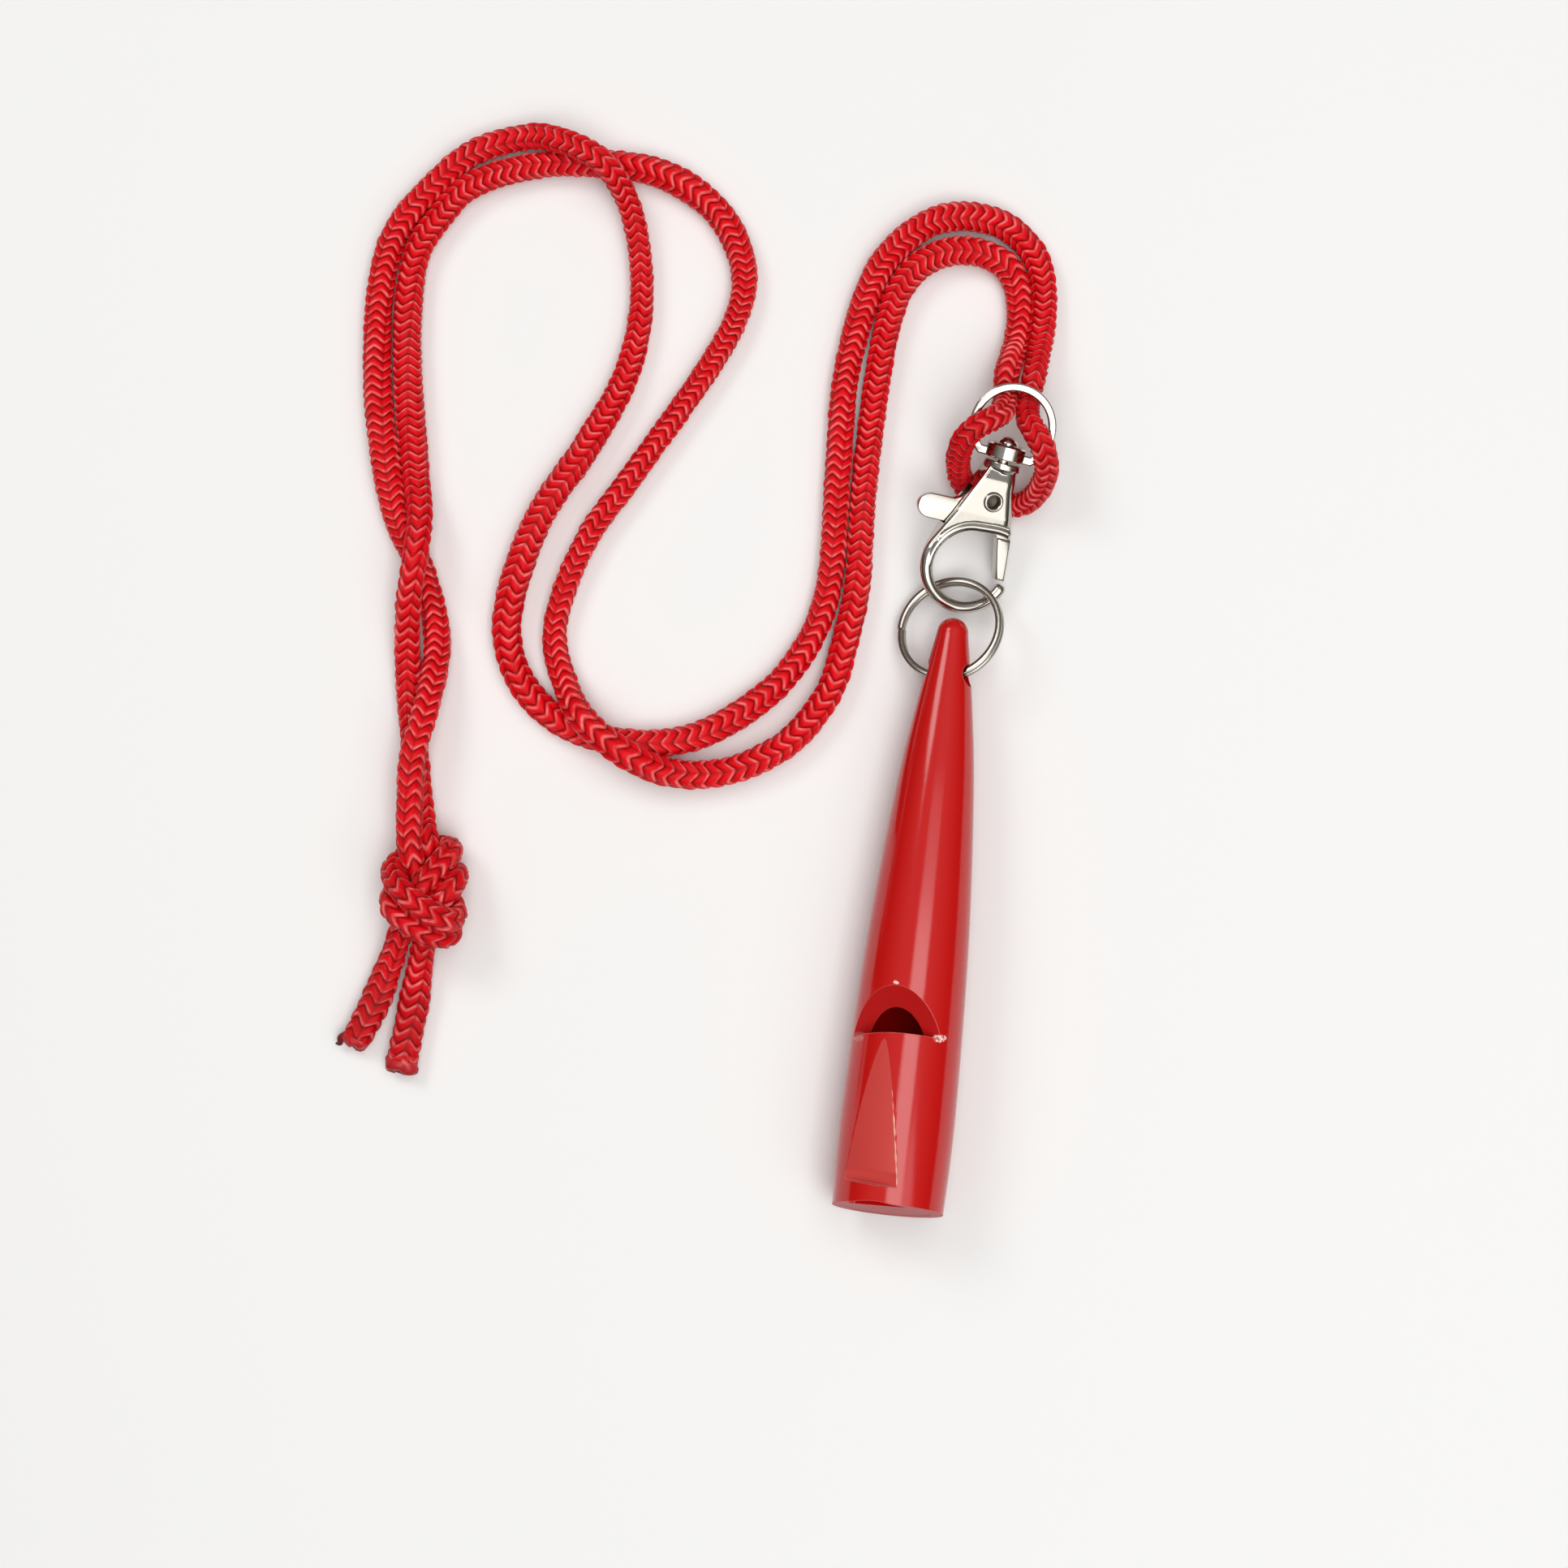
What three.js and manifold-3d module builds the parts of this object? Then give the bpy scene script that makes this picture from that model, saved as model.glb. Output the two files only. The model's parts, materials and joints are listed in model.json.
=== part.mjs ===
// Dog whistle on a snap clip and a knotted cord, lying on a table, in millimetres.
// Seen from above, +X is to the right, +Y runs from the mouthpiece to the clip, and +Z is up.
import * as THREE from 'three';
import { mergeVertices, toCreasedNormals } from 'three/addons/utils/BufferGeometryUtils.js';
import Module from 'manifold-3d';

const wasm = await Module();
wasm.setup();

// Fits
const touchGap = 0.3;
const turningGap = 0.3;

// Whistle body: stations along the axis are measured from the mouth end or from the tip
const whistleLength = 80;
const mouthRadius = 7.45;
const bellyRadius = 7.65;
const bellyFromMouth = 13;
const shoulderRadius = 6.75;
const shoulderFromTip = 44;
const waistRadius = 5.15;
const waistFromTip = 24;
const neckRadius = 3.75;
const neckFromTip = 12.6;
const tipRadius = 2.05;
const tipRound = 2.1;
const holeRadius = 1.5;
const holeFromTip = 6.8;
const boreRadius = 5.8;
const boreDepth = 38;

// Window with its ramp, the slot of the windway, and the flats for the lips
const windowFromMouth = 22.3;
const rampLength = 8.5;
const rampDrop = 3.2;
const windwayHeight = 1.25;
const lipRidge = 2.8;
const lipLength = 19;
const lipDrop = 1.1;
const lipRoll = -16;

// How the whistle lies on the table
const holeX = 0.25;
const holeY = 16.95;
const whistleYaw = -6.5;
const whistleTilt = -1;
const whistleRoll = -15;

// Split ring: a flat wire wound twice
const ringRadius = 7.05;
const ringWireWidth = 0.9;
const ringWireThickness = 0.55;
const ringTurns = 2;
const ringTurnGap = 0.45;
const ringSlack = 0.25;
const ringYaw = -8;
const ringTilt = -18;
const ringRoll = -23;

// Clip body: a hook below a plate, seen in its own plane with the swivel at the top
const hookX = -1;
const hookY = -14.4;
const hookInner = 5;
const hookWire = 1.75;
const hookTipAngle = -16;
const plateHalfThickness = 1.95;
const hookHalfThickness = 0.88;
const plateEndY = -7.5;
const hookStartY = -12.5;
const neckHalfWidth = 2.2;
const neckY = -0.3;
const shoulderX = 2.4;
const shoulderY = -3.2;
const cornerX = 3.7;
const cornerY = -8.7;
const collarRadius = 2.6;
const collarThickness = 0.8;
const clipYaw = -15;
const clipTilt = 12;
const clipRoll = 17;
const hookSeatX = 0.2;
const hookSeatY = 3.6;
const hookSeatZ = -0.5;

// Gate lever on its rivet
const pivotX = -0.47;
const pivotY = -4.94;
const hubRadius = 1.95;
const leverHalfThickness = 0.6;
const tabEndX = -8.6;
const tabRootX = -5.4;
const tabY = -7.45;
const tabHalfWidth = 1.7;
const armUnderX = 0.6;
const armUnderY = -7.6;
const gateTop = 9.2;
const gateTopLeft = 1.7;
const gateTopRight = 3.75;
const gateEnd = 14.7;
const gateEndLeft = 3.25;
const gateEndRight = 4.4;
const rivetRadius = 1.05;
const rivetBore = 0.8;
const rivetRim = 1.45;
const rivetRimThickness = 0.25;
const springThickness = 0.25;
const springFrom = 30;
const springTo = 120;

// Swivel eye and its headed pin
const eyeRadius = 5.9;
const eyeStrap = 1.1;
const eyeWidth = 1.6;
const eyeCentreY = 5.5;
const eyeBase = 1.2;
const bossRadius = 2.5;
const bossHeight = 1.9;
const pinRadius = 0.9;
const pinDepth = 1.9;
const pinHeadRadius = 1.6;
const pinHeadHeight = 1.3;

// Cord: one length doubled, its bight hitched on the eye and its ends knotted together
const cordRadius = 1.68;
const hitchRadius = 1.5;
const cordSides = 8;
const strandSteps = 48;
const hitchSteps = 26;

const strandRightRoute = [
  [13.8, 62.1, 2.8], [14.7, 66.9, 1.85], [14.4, 73.2, 1.85], [12.5, 77.1, 1.85],
  [8.5, 80, 1.85], [2.3, 81, 1.85], [-2.6, 79.8, 1.85], [-8.1, 74.9, 1.85], [-10.9, 69, 1.85],
  [-13.2, 57.9, 1.85], [-14.3, 45.4, 1.85], [-15.8, 28.6, 1.85], [-18.3, 21.8, 1.85], [-23.5, 15.1, 1.85],
  [-33.6, 8.8, 1.85], [-41.4, 7.8, 1.85], [-48.9, 9.1, 1.85], [-54.2, 12, 1.85], [-58.2, 16.8, 1.85],
  [-59.8, 24.1, 1.85], [-55.6, 38.7, 1.85], [-49, 48.8, 1.85], [-43.4, 58.8, 1.85], [-41.3, 69.4, 1.85],
  [-42.8, 81.3, 3.2], [-46.5, 87.3, 6.7], [-51.3, 90.3, 5.2], [-56.5, 91.7, 2.4], [-65.1, 89.3, 1.85],
  [-69.6, 85.5, 1.85], [-75, 79.2, 1.85], [-77.2, 72.3, 1.85], [-77.7, 54.4, 1.85], [-74.8, 38.1, 1.85],
  [-71.8, 31.9, 1.8], [-69.5, 21.9, 2.2], [-71.1, 11.9, 5.3], [-72.5, 6.1, 6], [-72.9, -3.4, 6.2],
];
const strandLeftRoute = [
  [9.9, 62.1, 2.6], [10.8, 67.4, 1.85], [10.2, 72.7, 1.85], [7.8, 75.3, 1.85],
  [2.8, 76.4, 1.85], [-2.1, 74.9, 1.85], [-5.4, 71.4, 1.85], [-7, 66.7, 1.85], [-10.2, 45.4, 1.85],
  [-11.6, 28.6, 1.85], [-13.3, 21.6, 1.85], [-15.4, 15.1, 1.85], [-20.6, 8.4, 1.85], [-25.2, 5.5, 1.85],
  [-31.3, 3.6, 1.8], [-38, 3.9, 3.4], [-44.3, 6.9, 6.2], [-49.2, 11, 5.6], [-52, 15.8, 2.6],
  [-53.3, 23, 1.85], [-49.1, 35.3, 1.85], [-42.2, 45.4, 1.85], [-28.7, 65.6, 1.85], [-27.2, 72.3, 1.85],
  [-29.3, 79, 1.85], [-33, 83.5, 1.85], [-39.2, 86.8, 1.85], [-46.8, 87.7, 1.85], [-56, 87.2, 1.85],
  [-65, 84.3, 1.85], [-69.4, 79.9, 1.85], [-72.2, 75.6, 1.85], [-73.5, 64.4, 1.85], [-72.4, 44.3, 2.2],
  [-71.7, 38.5, 4.8], [-72.2, 32.7, 6.5], [-73.2, 27.3, 5], [-73.8, 19.9, 2.2], [-73.2, 10.4, 1.8],
  [-71.5, -3.4, 2.6],
];
// Bight of the cord, in the frame of the eye: under its arc, up through it, over its sides, behind the clip
const hitchRoute = [
  [-2.65, 12.1, -3.6], [-2.3, 10.4, -3.15], [-2, 9, -2.6], [-1.8, 7.8, -1.2], [-2, 6.9, 0.6],
  [-3.3, 6.1, 2.4], [-5.2, 5.1, 3], [-6.7, 3.3, 2.4], [-7.2, 1.1, 0.5], [-6.7, -1.2, -1.6],
  [-5.4, -3.2, -3.6], [-3.2, -4.5, -4.35], [-1, -4.9, -4.45], [1.5, -4.9, -4.45], [4, -4.2, -4.1],
  [5.9, -2.6, -2.5], [6.9, -0.3, -0.3], [6.8, 2.2, 2], [5.2, 4.3, 3], [3.2, 6, 2.4],
  [1.8, 6.9, 0.6], [1.5, 7.8, -1.2], [1.2, 9.1, -2.5], [1.1, 10.6, -3.1], [1.2, 12.5, -3.4],
];

// Knot: loops of cord drawn round the two strands, with the strands and the tails let into it
const knotX = -70.9;
const knotY = -13.2;
const knotZ = 5.4;
const knotFlattening = 0.85;
const knotCore = [3.6, 7.2, 3.5];
const knotLoops = [
  { along: 3.4, radius: 3.7, lean: 34 },
  { along: -0.4, radius: 4.3, lean: 30 },
  { along: -4.2, radius: 4, lean: 14 },
];
const knotStubs = [
  [[-72.9, -3.8, 6.2], [-72, -9.6, 5.8]],
  [[-71.5, -3.8, 2.7], [-71.1, -9.6, 4.4]],
  [[-74.6, -17.6, 4.2], [-76.1, -22.8, 2.5]],
  [[-71.8, -18.1, 4.4], [-72.2, -23, 2.7]],
];
const tailLeftRoute = [[-76.3, -23.2, 2.35], [-77.6, -26.9, 1.9], [-80.6, -33, 1.8]];
const tailRightRoute = [[-72.25, -23.4, 2.5], [-72.9, -28.6, 1.9], [-74.4, -36.1, 1.8]];
const tailSteps = 4;
const sealLength = 1.7;
const sealRadius = 1.5;

const roundSides = 32;
const cutReach = 20;

// Geometry helpers
const degrees = THREE.MathUtils.degToRad;

function solid(geometry) {
  const bare = geometry.clone();
  bare.deleteAttribute('normal');
  bare.deleteAttribute('uv');
  const merged = mergeVertices(bare, 1e-4);
  return new wasm.Manifold(new wasm.Mesh({
    numProp: 3,
    vertProperties: new Float32Array(merged.attributes.position.array),
    triVerts: new Uint32Array(merged.index.array),
  }));
}

function geometryOf(body) {
  const mesh = body.getMesh();
  const geometry = new THREE.BufferGeometry();
  geometry.setAttribute('position', new THREE.BufferAttribute(mesh.vertProperties, 3));
  geometry.setIndex(new THREE.BufferAttribute(mesh.triVerts, 1));
  return geometry;
}

function turned(points) {
  return new THREE.LatheGeometry(points.map(([r, y]) => new THREE.Vector2(r, y)), roundSides);
}

// A round bar along Y between two heights
function bar(radius, from, to) {
  const geometry = new THREE.CylinderGeometry(radius, radius, to - from, roundSides);
  geometry.translate(0, (from + to) / 2, 0);
  return geometry;
}

// A plate with its outline in the XY plane, as thick above the plane as below
function plate(outline, halfThickness, segments = 12) {
  const geometry = new THREE.ExtrudeGeometry(outline, {
    depth: 2 * halfThickness,
    bevelEnabled: false,
    curveSegments: segments,
  });
  geometry.translate(0, 0, -halfThickness);
  return geometry;
}

// A prism across X whose outline is given along Y and Z
function crosswise(points, halfWidth) {
  const outline = new THREE.Shape(points.map(([y, z]) => new THREE.Vector2(y, z)));
  const geometry = plate(outline, halfWidth);
  const axes = [new THREE.Vector3(0, 1, 0), new THREE.Vector3(0, 0, 1), new THREE.Vector3(1, 0, 0)];
  geometry.applyMatrix4(new THREE.Matrix4().makeBasis(...axes));
  return geometry;
}

function along(points, radius, steps) {
  const section = new THREE.Shape().absarc(0, 0, radius, 0, 2 * Math.PI);
  const corners = points.map((p) => new THREE.Vector3(...p));
  const extrudePath = new THREE.CatmullRomCurve3(corners, false, 'centripetal');
  return new THREE.ExtrudeGeometry(section, {
    steps,
    extrudePath,
    bevelEnabled: false,
    curveSegments: cordSides / 2,
  });
}

function pose(yaw, tilt, roll) {
  const turn = new THREE.Euler(degrees(tilt), degrees(roll), degrees(yaw), 'ZXY');
  return new THREE.Quaternion().setFromEuler(turn);
}

function piece(name, geometry, material, creaseDegrees = 35) {
  const shaded = toCreasedNormals(geometryOf(solid(geometry)), degrees(creaseDegrees));
  const mesh = new THREE.Mesh(shaded, material);
  mesh.name = name;
  return mesh;
}

function finish(color, roughness, metalness) {
  return new THREE.MeshStandardMaterial({ color, roughness, metalness });
}

// Whistle, its axis along Y from the mouth end to the tip and its window on +Z
const whistleCurve = new THREE.SplineCurve([
  new THREE.Vector2(mouthRadius, 0),
  new THREE.Vector2(bellyRadius, bellyFromMouth),
  new THREE.Vector2(shoulderRadius, whistleLength - shoulderFromTip),
  new THREE.Vector2(waistRadius, whistleLength - waistFromTip),
  new THREE.Vector2(neckRadius, whistleLength - neckFromTip),
  new THREE.Vector2(tipRadius, whistleLength - tipRound),
]);

function whistleRadiusAt(y) {
  const samples = whistleCurve.getPoints(200);
  const index = samples.findIndex((p) => p.y >= y);
  return samples[index].x;
}

function whistleBody() {
  const tip = new THREE.EllipseCurve(0, whistleLength - tipRound, tipRadius, tipRound, 0, Math.PI / 2);
  const outside = [...whistleCurve.getPoints(22), ...tip.getPoints(5).slice(1, -1)];
  const profile = [[0, 0], ...outside.map((p) => [p.x, p.y]), [0, whistleLength]];
  const bore = bar(boreRadius, -1, boreDepth);
  const rampEnd = windowFromMouth + rampLength;
  const rampTop = whistleRadiusAt(rampEnd);
  const window = crosswise([
    [windowFromMouth, rampTop - rampDrop],
    [rampEnd, rampTop],
    [rampEnd, cutReach],
    [windowFromMouth, cutReach],
  ], cutReach);
  const hole = bar(holeRadius, -cutReach, cutReach);
  hole.rotateZ(Math.PI / 2);
  hole.translate(0, whistleLength - holeFromTip, 0);
  let body = solid(turned(profile)).subtract(solid(bore)).subtract(solid(window)).subtract(solid(hole));
  for (const side of [0, 180]) {
    const flat = crosswise([
      [lipRidge, whistleRadiusAt(lipRidge) - lipDrop],
      [lipRidge + lipLength, whistleRadiusAt(lipRidge + lipLength)],
      [lipRidge + lipLength, cutReach],
      [lipRidge, cutReach],
    ], cutReach);
    flat.rotateY(degrees(lipRoll + side));
    body = body.subtract(solid(flat));
  }
  return geometryOf(body);
}

function windwayPlug() {
  const block = solid(bar(boreRadius - touchGap, 0, windowFromMouth));
  const top = boreRadius - windwayHeight;
  const windway = crosswise([
    [-1, top],
    [windowFromMouth + 1, top],
    [windowFromMouth + 1, cutReach],
    [-1, cutReach],
  ], cutReach);
  return geometryOf(block.subtract(solid(windway)));
}

// Split ring about Z, its wire ends on the left
class RingTurns extends THREE.Curve {
  getPoint(t, target = new THREE.Vector3()) {
    const angle = Math.PI + t * ringTurns * 2 * Math.PI;
    const rise = (t - 0.5) * ringTurns * (ringWireThickness + ringTurnGap);
    return target.set(ringRadius * Math.cos(angle), ringRadius * Math.sin(angle), rise);
  }
}

function splitRing() {
  const w = ringWireWidth / 2;
  const h = ringWireThickness / 2;
  const section = new THREE.Shape([
    new THREE.Vector2(-w, -h),
    new THREE.Vector2(w, -h),
    new THREE.Vector2(w, h),
    new THREE.Vector2(-w, h),
  ]);
  return new THREE.ExtrudeGeometry(section, {
    steps: 32 * ringTurns,
    extrudePath: new RingTurns(),
    bevelEnabled: false,
  });
}

// Clip pieces, in the plane of the hook
const pinSocket = pinRadius + touchGap;
const rivetHole = rivetRadius + turningGap;
const springInner = hubRadius + turningGap;
const slotRadius = springInner + springThickness + turningGap;
const slotHalfThickness = leverHalfThickness + turningGap;
const collarTop = neckY + collarThickness;
const hookOuter = hookInner + hookWire;

function clipOutline() {
  const neckReach = Math.hypot(-neckHalfWidth - hookX, neckY - hookY);
  const neckAngle = Math.atan2(neckY - hookY, -neckHalfWidth - hookX);
  const leftAngle = neckAngle + Math.acos(hookOuter / neckReach);
  const tipAngle = degrees(360 + hookTipAngle);
  const outline = new THREE.Shape();
  outline.moveTo(-neckHalfWidth, neckY);
  outline.absarc(hookX, hookY, hookOuter, leftAngle, tipAngle, false);
  outline.absarc(hookX, hookY, hookInner, tipAngle, Math.PI / 2, true);
  outline.lineTo(cornerX, cornerY);
  outline.lineTo(shoulderX, shoulderY);
  outline.lineTo(neckHalfWidth, neckY);
  return outline;
}

function leverSlot() {
  const armTop = pivotY + hubRadius;
  const tabUnder = tabY - tabHalfWidth - 3 * turningGap;
  const corridor = new THREE.Shape([
    new THREE.Vector2(-cutReach, armTop),
    new THREE.Vector2(-cutReach, tabUnder),
    new THREE.Vector2(tabRootX + 1.2, tabUnder),
    new THREE.Vector2(tabRootX + 1.2, hookY),
    new THREE.Vector2(cornerX - 2 * turningGap, hookY),
    new THREE.Vector2(cornerX - 2 * turningGap, cornerY),
    new THREE.Vector2(pivotX + slotRadius, pivotY),
    new THREE.Vector2(pivotX, armTop),
  ]);
  const round = new THREE.Shape().absarc(pivotX, pivotY, slotRadius, 0, 2 * Math.PI);
  return solid(plate(corridor, slotHalfThickness)).add(solid(plate(round, slotHalfThickness)));
}

function clipBody() {
  const sides = crosswise([
    [neckY, -plateHalfThickness],
    [neckY, plateHalfThickness],
    [plateEndY, plateHalfThickness],
    [hookStartY, hookHalfThickness],
    [hookY - hookOuter, hookHalfThickness],
    [hookY - hookOuter, -hookHalfThickness],
    [hookStartY, -hookHalfThickness],
    [plateEndY, -plateHalfThickness],
  ], cutReach);
  const collar = bar(collarRadius, neckY - touchGap, collarTop);
  const socket = bar(pinSocket, collarTop - pinDepth - touchGap, collarTop + 1);
  const rivetWay = bar(rivetHole, -cutReach, cutReach);
  rivetWay.rotateX(Math.PI / 2);
  rivetWay.translate(pivotX, pivotY, 0);
  const hook = solid(plate(clipOutline(), plateHalfThickness, 14)).intersect(solid(sides));
  const drilled = hook.add(solid(collar)).subtract(solid(socket)).subtract(solid(rivetWay));
  return geometryOf(drilled.subtract(leverSlot()));
}

function gateLever() {
  const outline = new THREE.Shape();
  outline.moveTo(tabEndX, tabY + tabHalfWidth);
  outline.absarc(tabEndX, tabY, tabHalfWidth, Math.PI / 2, 1.5 * Math.PI, false);
  outline.lineTo(tabRootX, tabY - tabHalfWidth);
  outline.lineTo(armUnderX, armUnderY);
  outline.lineTo(gateTopLeft, -gateTop);
  outline.lineTo(gateEndLeft, -gateEnd);
  outline.lineTo(gateEndRight, -gateEnd);
  outline.lineTo(gateTopRight, -gateTop);
  outline.lineTo(cornerX - 4 * turningGap, -gateTop);
  outline.absarc(pivotX, pivotY, hubRadius, degrees(8), degrees(150), false);
  outline.lineTo(tabRootX, tabY + tabHalfWidth);
  outline.holes.push(new THREE.Path().absarc(pivotX, pivotY, rivetHole, 0, 2 * Math.PI, true));
  return plate(outline, leverHalfThickness);
}

function gateRivet() {
  const under = plateHalfThickness + touchGap;
  const over = under + rivetRimThickness;
  const rivet = turned([
    [rivetBore, -over],
    [rivetRim, -over],
    [rivetRim, -under],
    [rivetRadius, -under],
    [rivetRadius, under],
    [rivetRim, under],
    [rivetRim, over],
    [rivetBore, over],
    [rivetBore, -over],
  ]);
  rivet.rotateX(Math.PI / 2);
  rivet.translate(pivotX, pivotY, 0);
  return rivet;
}

function gateSpring() {
  const leaf = new THREE.Shape();
  leaf.absarc(pivotX, pivotY, springInner + springThickness, degrees(springFrom), degrees(springTo), false);
  leaf.absarc(pivotX, pivotY, springInner, degrees(springTo), degrees(springFrom), true);
  return plate(leaf, leverHalfThickness);
}

// Swivel pieces, about the axis of the clip
const eyeFoot = collarTop + turningGap + 0.1;
const bossTop = eyeFoot + bossHeight;

function eyeOutline(radius, foot) {
  const footAngle = Math.asin((foot - eyeCentreY) / radius);
  return new THREE.Shape().absarc(0, eyeCentreY, radius, footAngle, Math.PI - footAngle, false);
}

function swivelEye() {
  const strap = eyeOutline(eyeRadius, eyeFoot);
  strap.holes.push(eyeOutline(eyeRadius - eyeStrap, eyeFoot + eyeBase));
  const pinWay = bar(pinRadius + turningGap, eyeFoot - 1, bossTop + 1);
  const boss = bar(bossRadius, eyeFoot, bossTop);
  return geometryOf(solid(plate(strap, eyeWidth / 2, 20)).add(solid(boss)).subtract(solid(pinWay)));
}

function swivelPin() {
  const headFoot = bossTop + turningGap;
  const dome = new THREE.EllipseCurve(0, headFoot, pinHeadRadius, pinHeadHeight, 0, Math.PI / 2);
  return turned([
    [0, collarTop - pinDepth],
    [pinRadius, collarTop - pinDepth],
    [pinRadius, headFoot],
    ...dome.getPoints(6).slice(0, -1).map((p) => [p.x, p.y]),
    [0, headFoot + pinHeadHeight],
  ]);
}

// Knot and the melted ends of its tails
function cordKnot() {
  const core = new THREE.SphereGeometry(1, 16, 12);
  core.scale(...knotCore);
  let knot = solid(core);
  for (const { along: place, radius, lean } of knotLoops) {
    const loop = new THREE.TorusGeometry(radius, cordRadius, cordSides, 20);
    loop.rotateX(Math.PI / 2);
    loop.scale(1, 1, knotFlattening);
    loop.rotateZ(degrees(lean));
    loop.translate(0, place, 0);
    knot = knot.add(solid(loop));
  }
  knot = knot.translate([knotX, knotY, knotZ]);
  for (const stub of knotStubs) {
    knot = knot.add(solid(along(stub, cordRadius, 1)));
  }
  return geometryOf(knot);
}

function tailSeal(route) {
  const [before, end] = route.slice(-2).map((p) => new THREE.Vector3(...p));
  const onward = end.clone().sub(before).normalize();
  const dome = new THREE.EllipseCurve(0, 0, sealRadius, sealLength, 0, Math.PI / 2);
  const seal = turned([[0, 0], ...dome.getPoints(5).slice(0, -1).map((p) => [p.x, p.y]), [0, sealLength]]);
  const turn = new THREE.Quaternion().setFromUnitVectors(new THREE.Vector3(0, 1, 0), onward);
  seal.applyQuaternion(turn);
  seal.translate(...end.addScaledVector(onward, touchGap).toArray());
  return seal;
}

// The whistle rests on its belly, the ring hangs in its cross hole, and the hook hangs in the ring
const whistleTurn = pose(whistleYaw, whistleTilt, whistleRoll);
const ringTurn = pose(ringYaw, ringTilt, ringRoll);
const clipTurn = pose(clipYaw, clipTilt, clipRoll);
const eyeTurn = pose(clipYaw, clipTilt, 0);
const holeFromMouth = whistleLength - holeFromTip;
const holeHeight = bellyRadius + (holeFromMouth - bellyFromMouth) * Math.sin(degrees(whistleTilt));
const holeAt = new THREE.Vector3(holeX, holeY, holeHeight);
const mouthAt = new THREE.Vector3(0, -holeFromMouth, 0).applyQuaternion(whistleTurn).add(holeAt);
const ringAt = new THREE.Vector3(0, ringRadius - ringSlack, 0).applyQuaternion(ringTurn).add(holeAt);
const hookSeat = new THREE.Vector3(hookSeatX, hookSeatY, hookSeatZ).applyQuaternion(ringTurn).add(ringAt);
const hookFoot = new THREE.Vector3(hookX, hookY - hookInner - hookWire / 2, 0).applyQuaternion(clipTurn);
const clipAt = hookSeat.sub(hookFoot);

// A strand starts just beyond the end of the bight and leaves in line with it
function strandStart(before, end) {
  const to = new THREE.Vector3(...end);
  const onward = to.clone().sub(new THREE.Vector3(...before)).normalize();
  return [touchGap, touchGap + hitchRadius].map((reach) => {
    const point = to.clone().addScaledVector(onward, reach);
    return point.applyQuaternion(eyeTurn).add(clipAt).toArray();
  });
}

const strandLeft = [...strandStart(hitchRoute.at(1), hitchRoute.at(0)), ...strandLeftRoute];
const strandRight = [...strandStart(hitchRoute.at(-2), hitchRoute.at(-1)), ...strandRightRoute];

const redPlastic = finish(0xcd1919, 0.25, 0);
const nickel = finish(0xc9c5bf, 0.22, 1);
const cordRed = finish(0xc4141f, 0.7, 0);
const sealRed = finish(0x7c0a10, 0.45, 0);

function placed(name, at, turn, pieces) {
  const holder = new THREE.Group();
  holder.name = name;
  holder.position.copy(at);
  holder.quaternion.copy(turn);
  holder.add(...pieces);
  return holder;
}

const group = new THREE.Group();
group.name = 'dog_whistle';
group.add(
  placed('whistle', mouthAt, whistleTurn, [
    piece('whistle_body', whistleBody(), redPlastic),
    piece('windway_plug', windwayPlug(), redPlastic),
  ]),
  placed('ring', ringAt, ringTurn, [piece('split_ring', splitRing(), nickel)]),
  placed('clip', clipAt, clipTurn, [
    piece('clip_body', clipBody(), nickel),
    piece('gate_lever', gateLever(), nickel),
    piece('gate_rivet', gateRivet(), nickel),
    piece('gate_spring', gateSpring(), nickel),
    piece('swivel_pin', swivelPin(), nickel),
  ]),
  placed('eye', clipAt, eyeTurn, [
    piece('swivel_eye', swivelEye(), nickel),
    piece('cord_hitch', along(hitchRoute, hitchRadius, hitchSteps), cordRed),
  ]),
  piece('cord_strand_right', along(strandRight, cordRadius, strandSteps), cordRed),
  piece('cord_strand_left', along(strandLeft, cordRadius, strandSteps), cordRed),
  piece('cord_knot', cordKnot(), cordRed),
  piece('cord_tail_left', along(tailLeftRoute, cordRadius, tailSteps), cordRed),
  piece('cord_tail_right', along(tailRightRoute, cordRadius, tailSteps), cordRed),
  piece('tail_seal_left', tailSeal(tailLeftRoute), sealRed),
  piece('tail_seal_right', tailSeal(tailRightRoute), sealRed),
);

export default group;
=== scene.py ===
# Dog whistle on a snap clip and a knotted cord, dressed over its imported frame.
# Shapes are in millimetres in the frame of their own piece, then placed in the shared frame in metres.
import json
import math

import bmesh
import bpy
import numpy as np
from mathutils import Matrix

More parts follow.
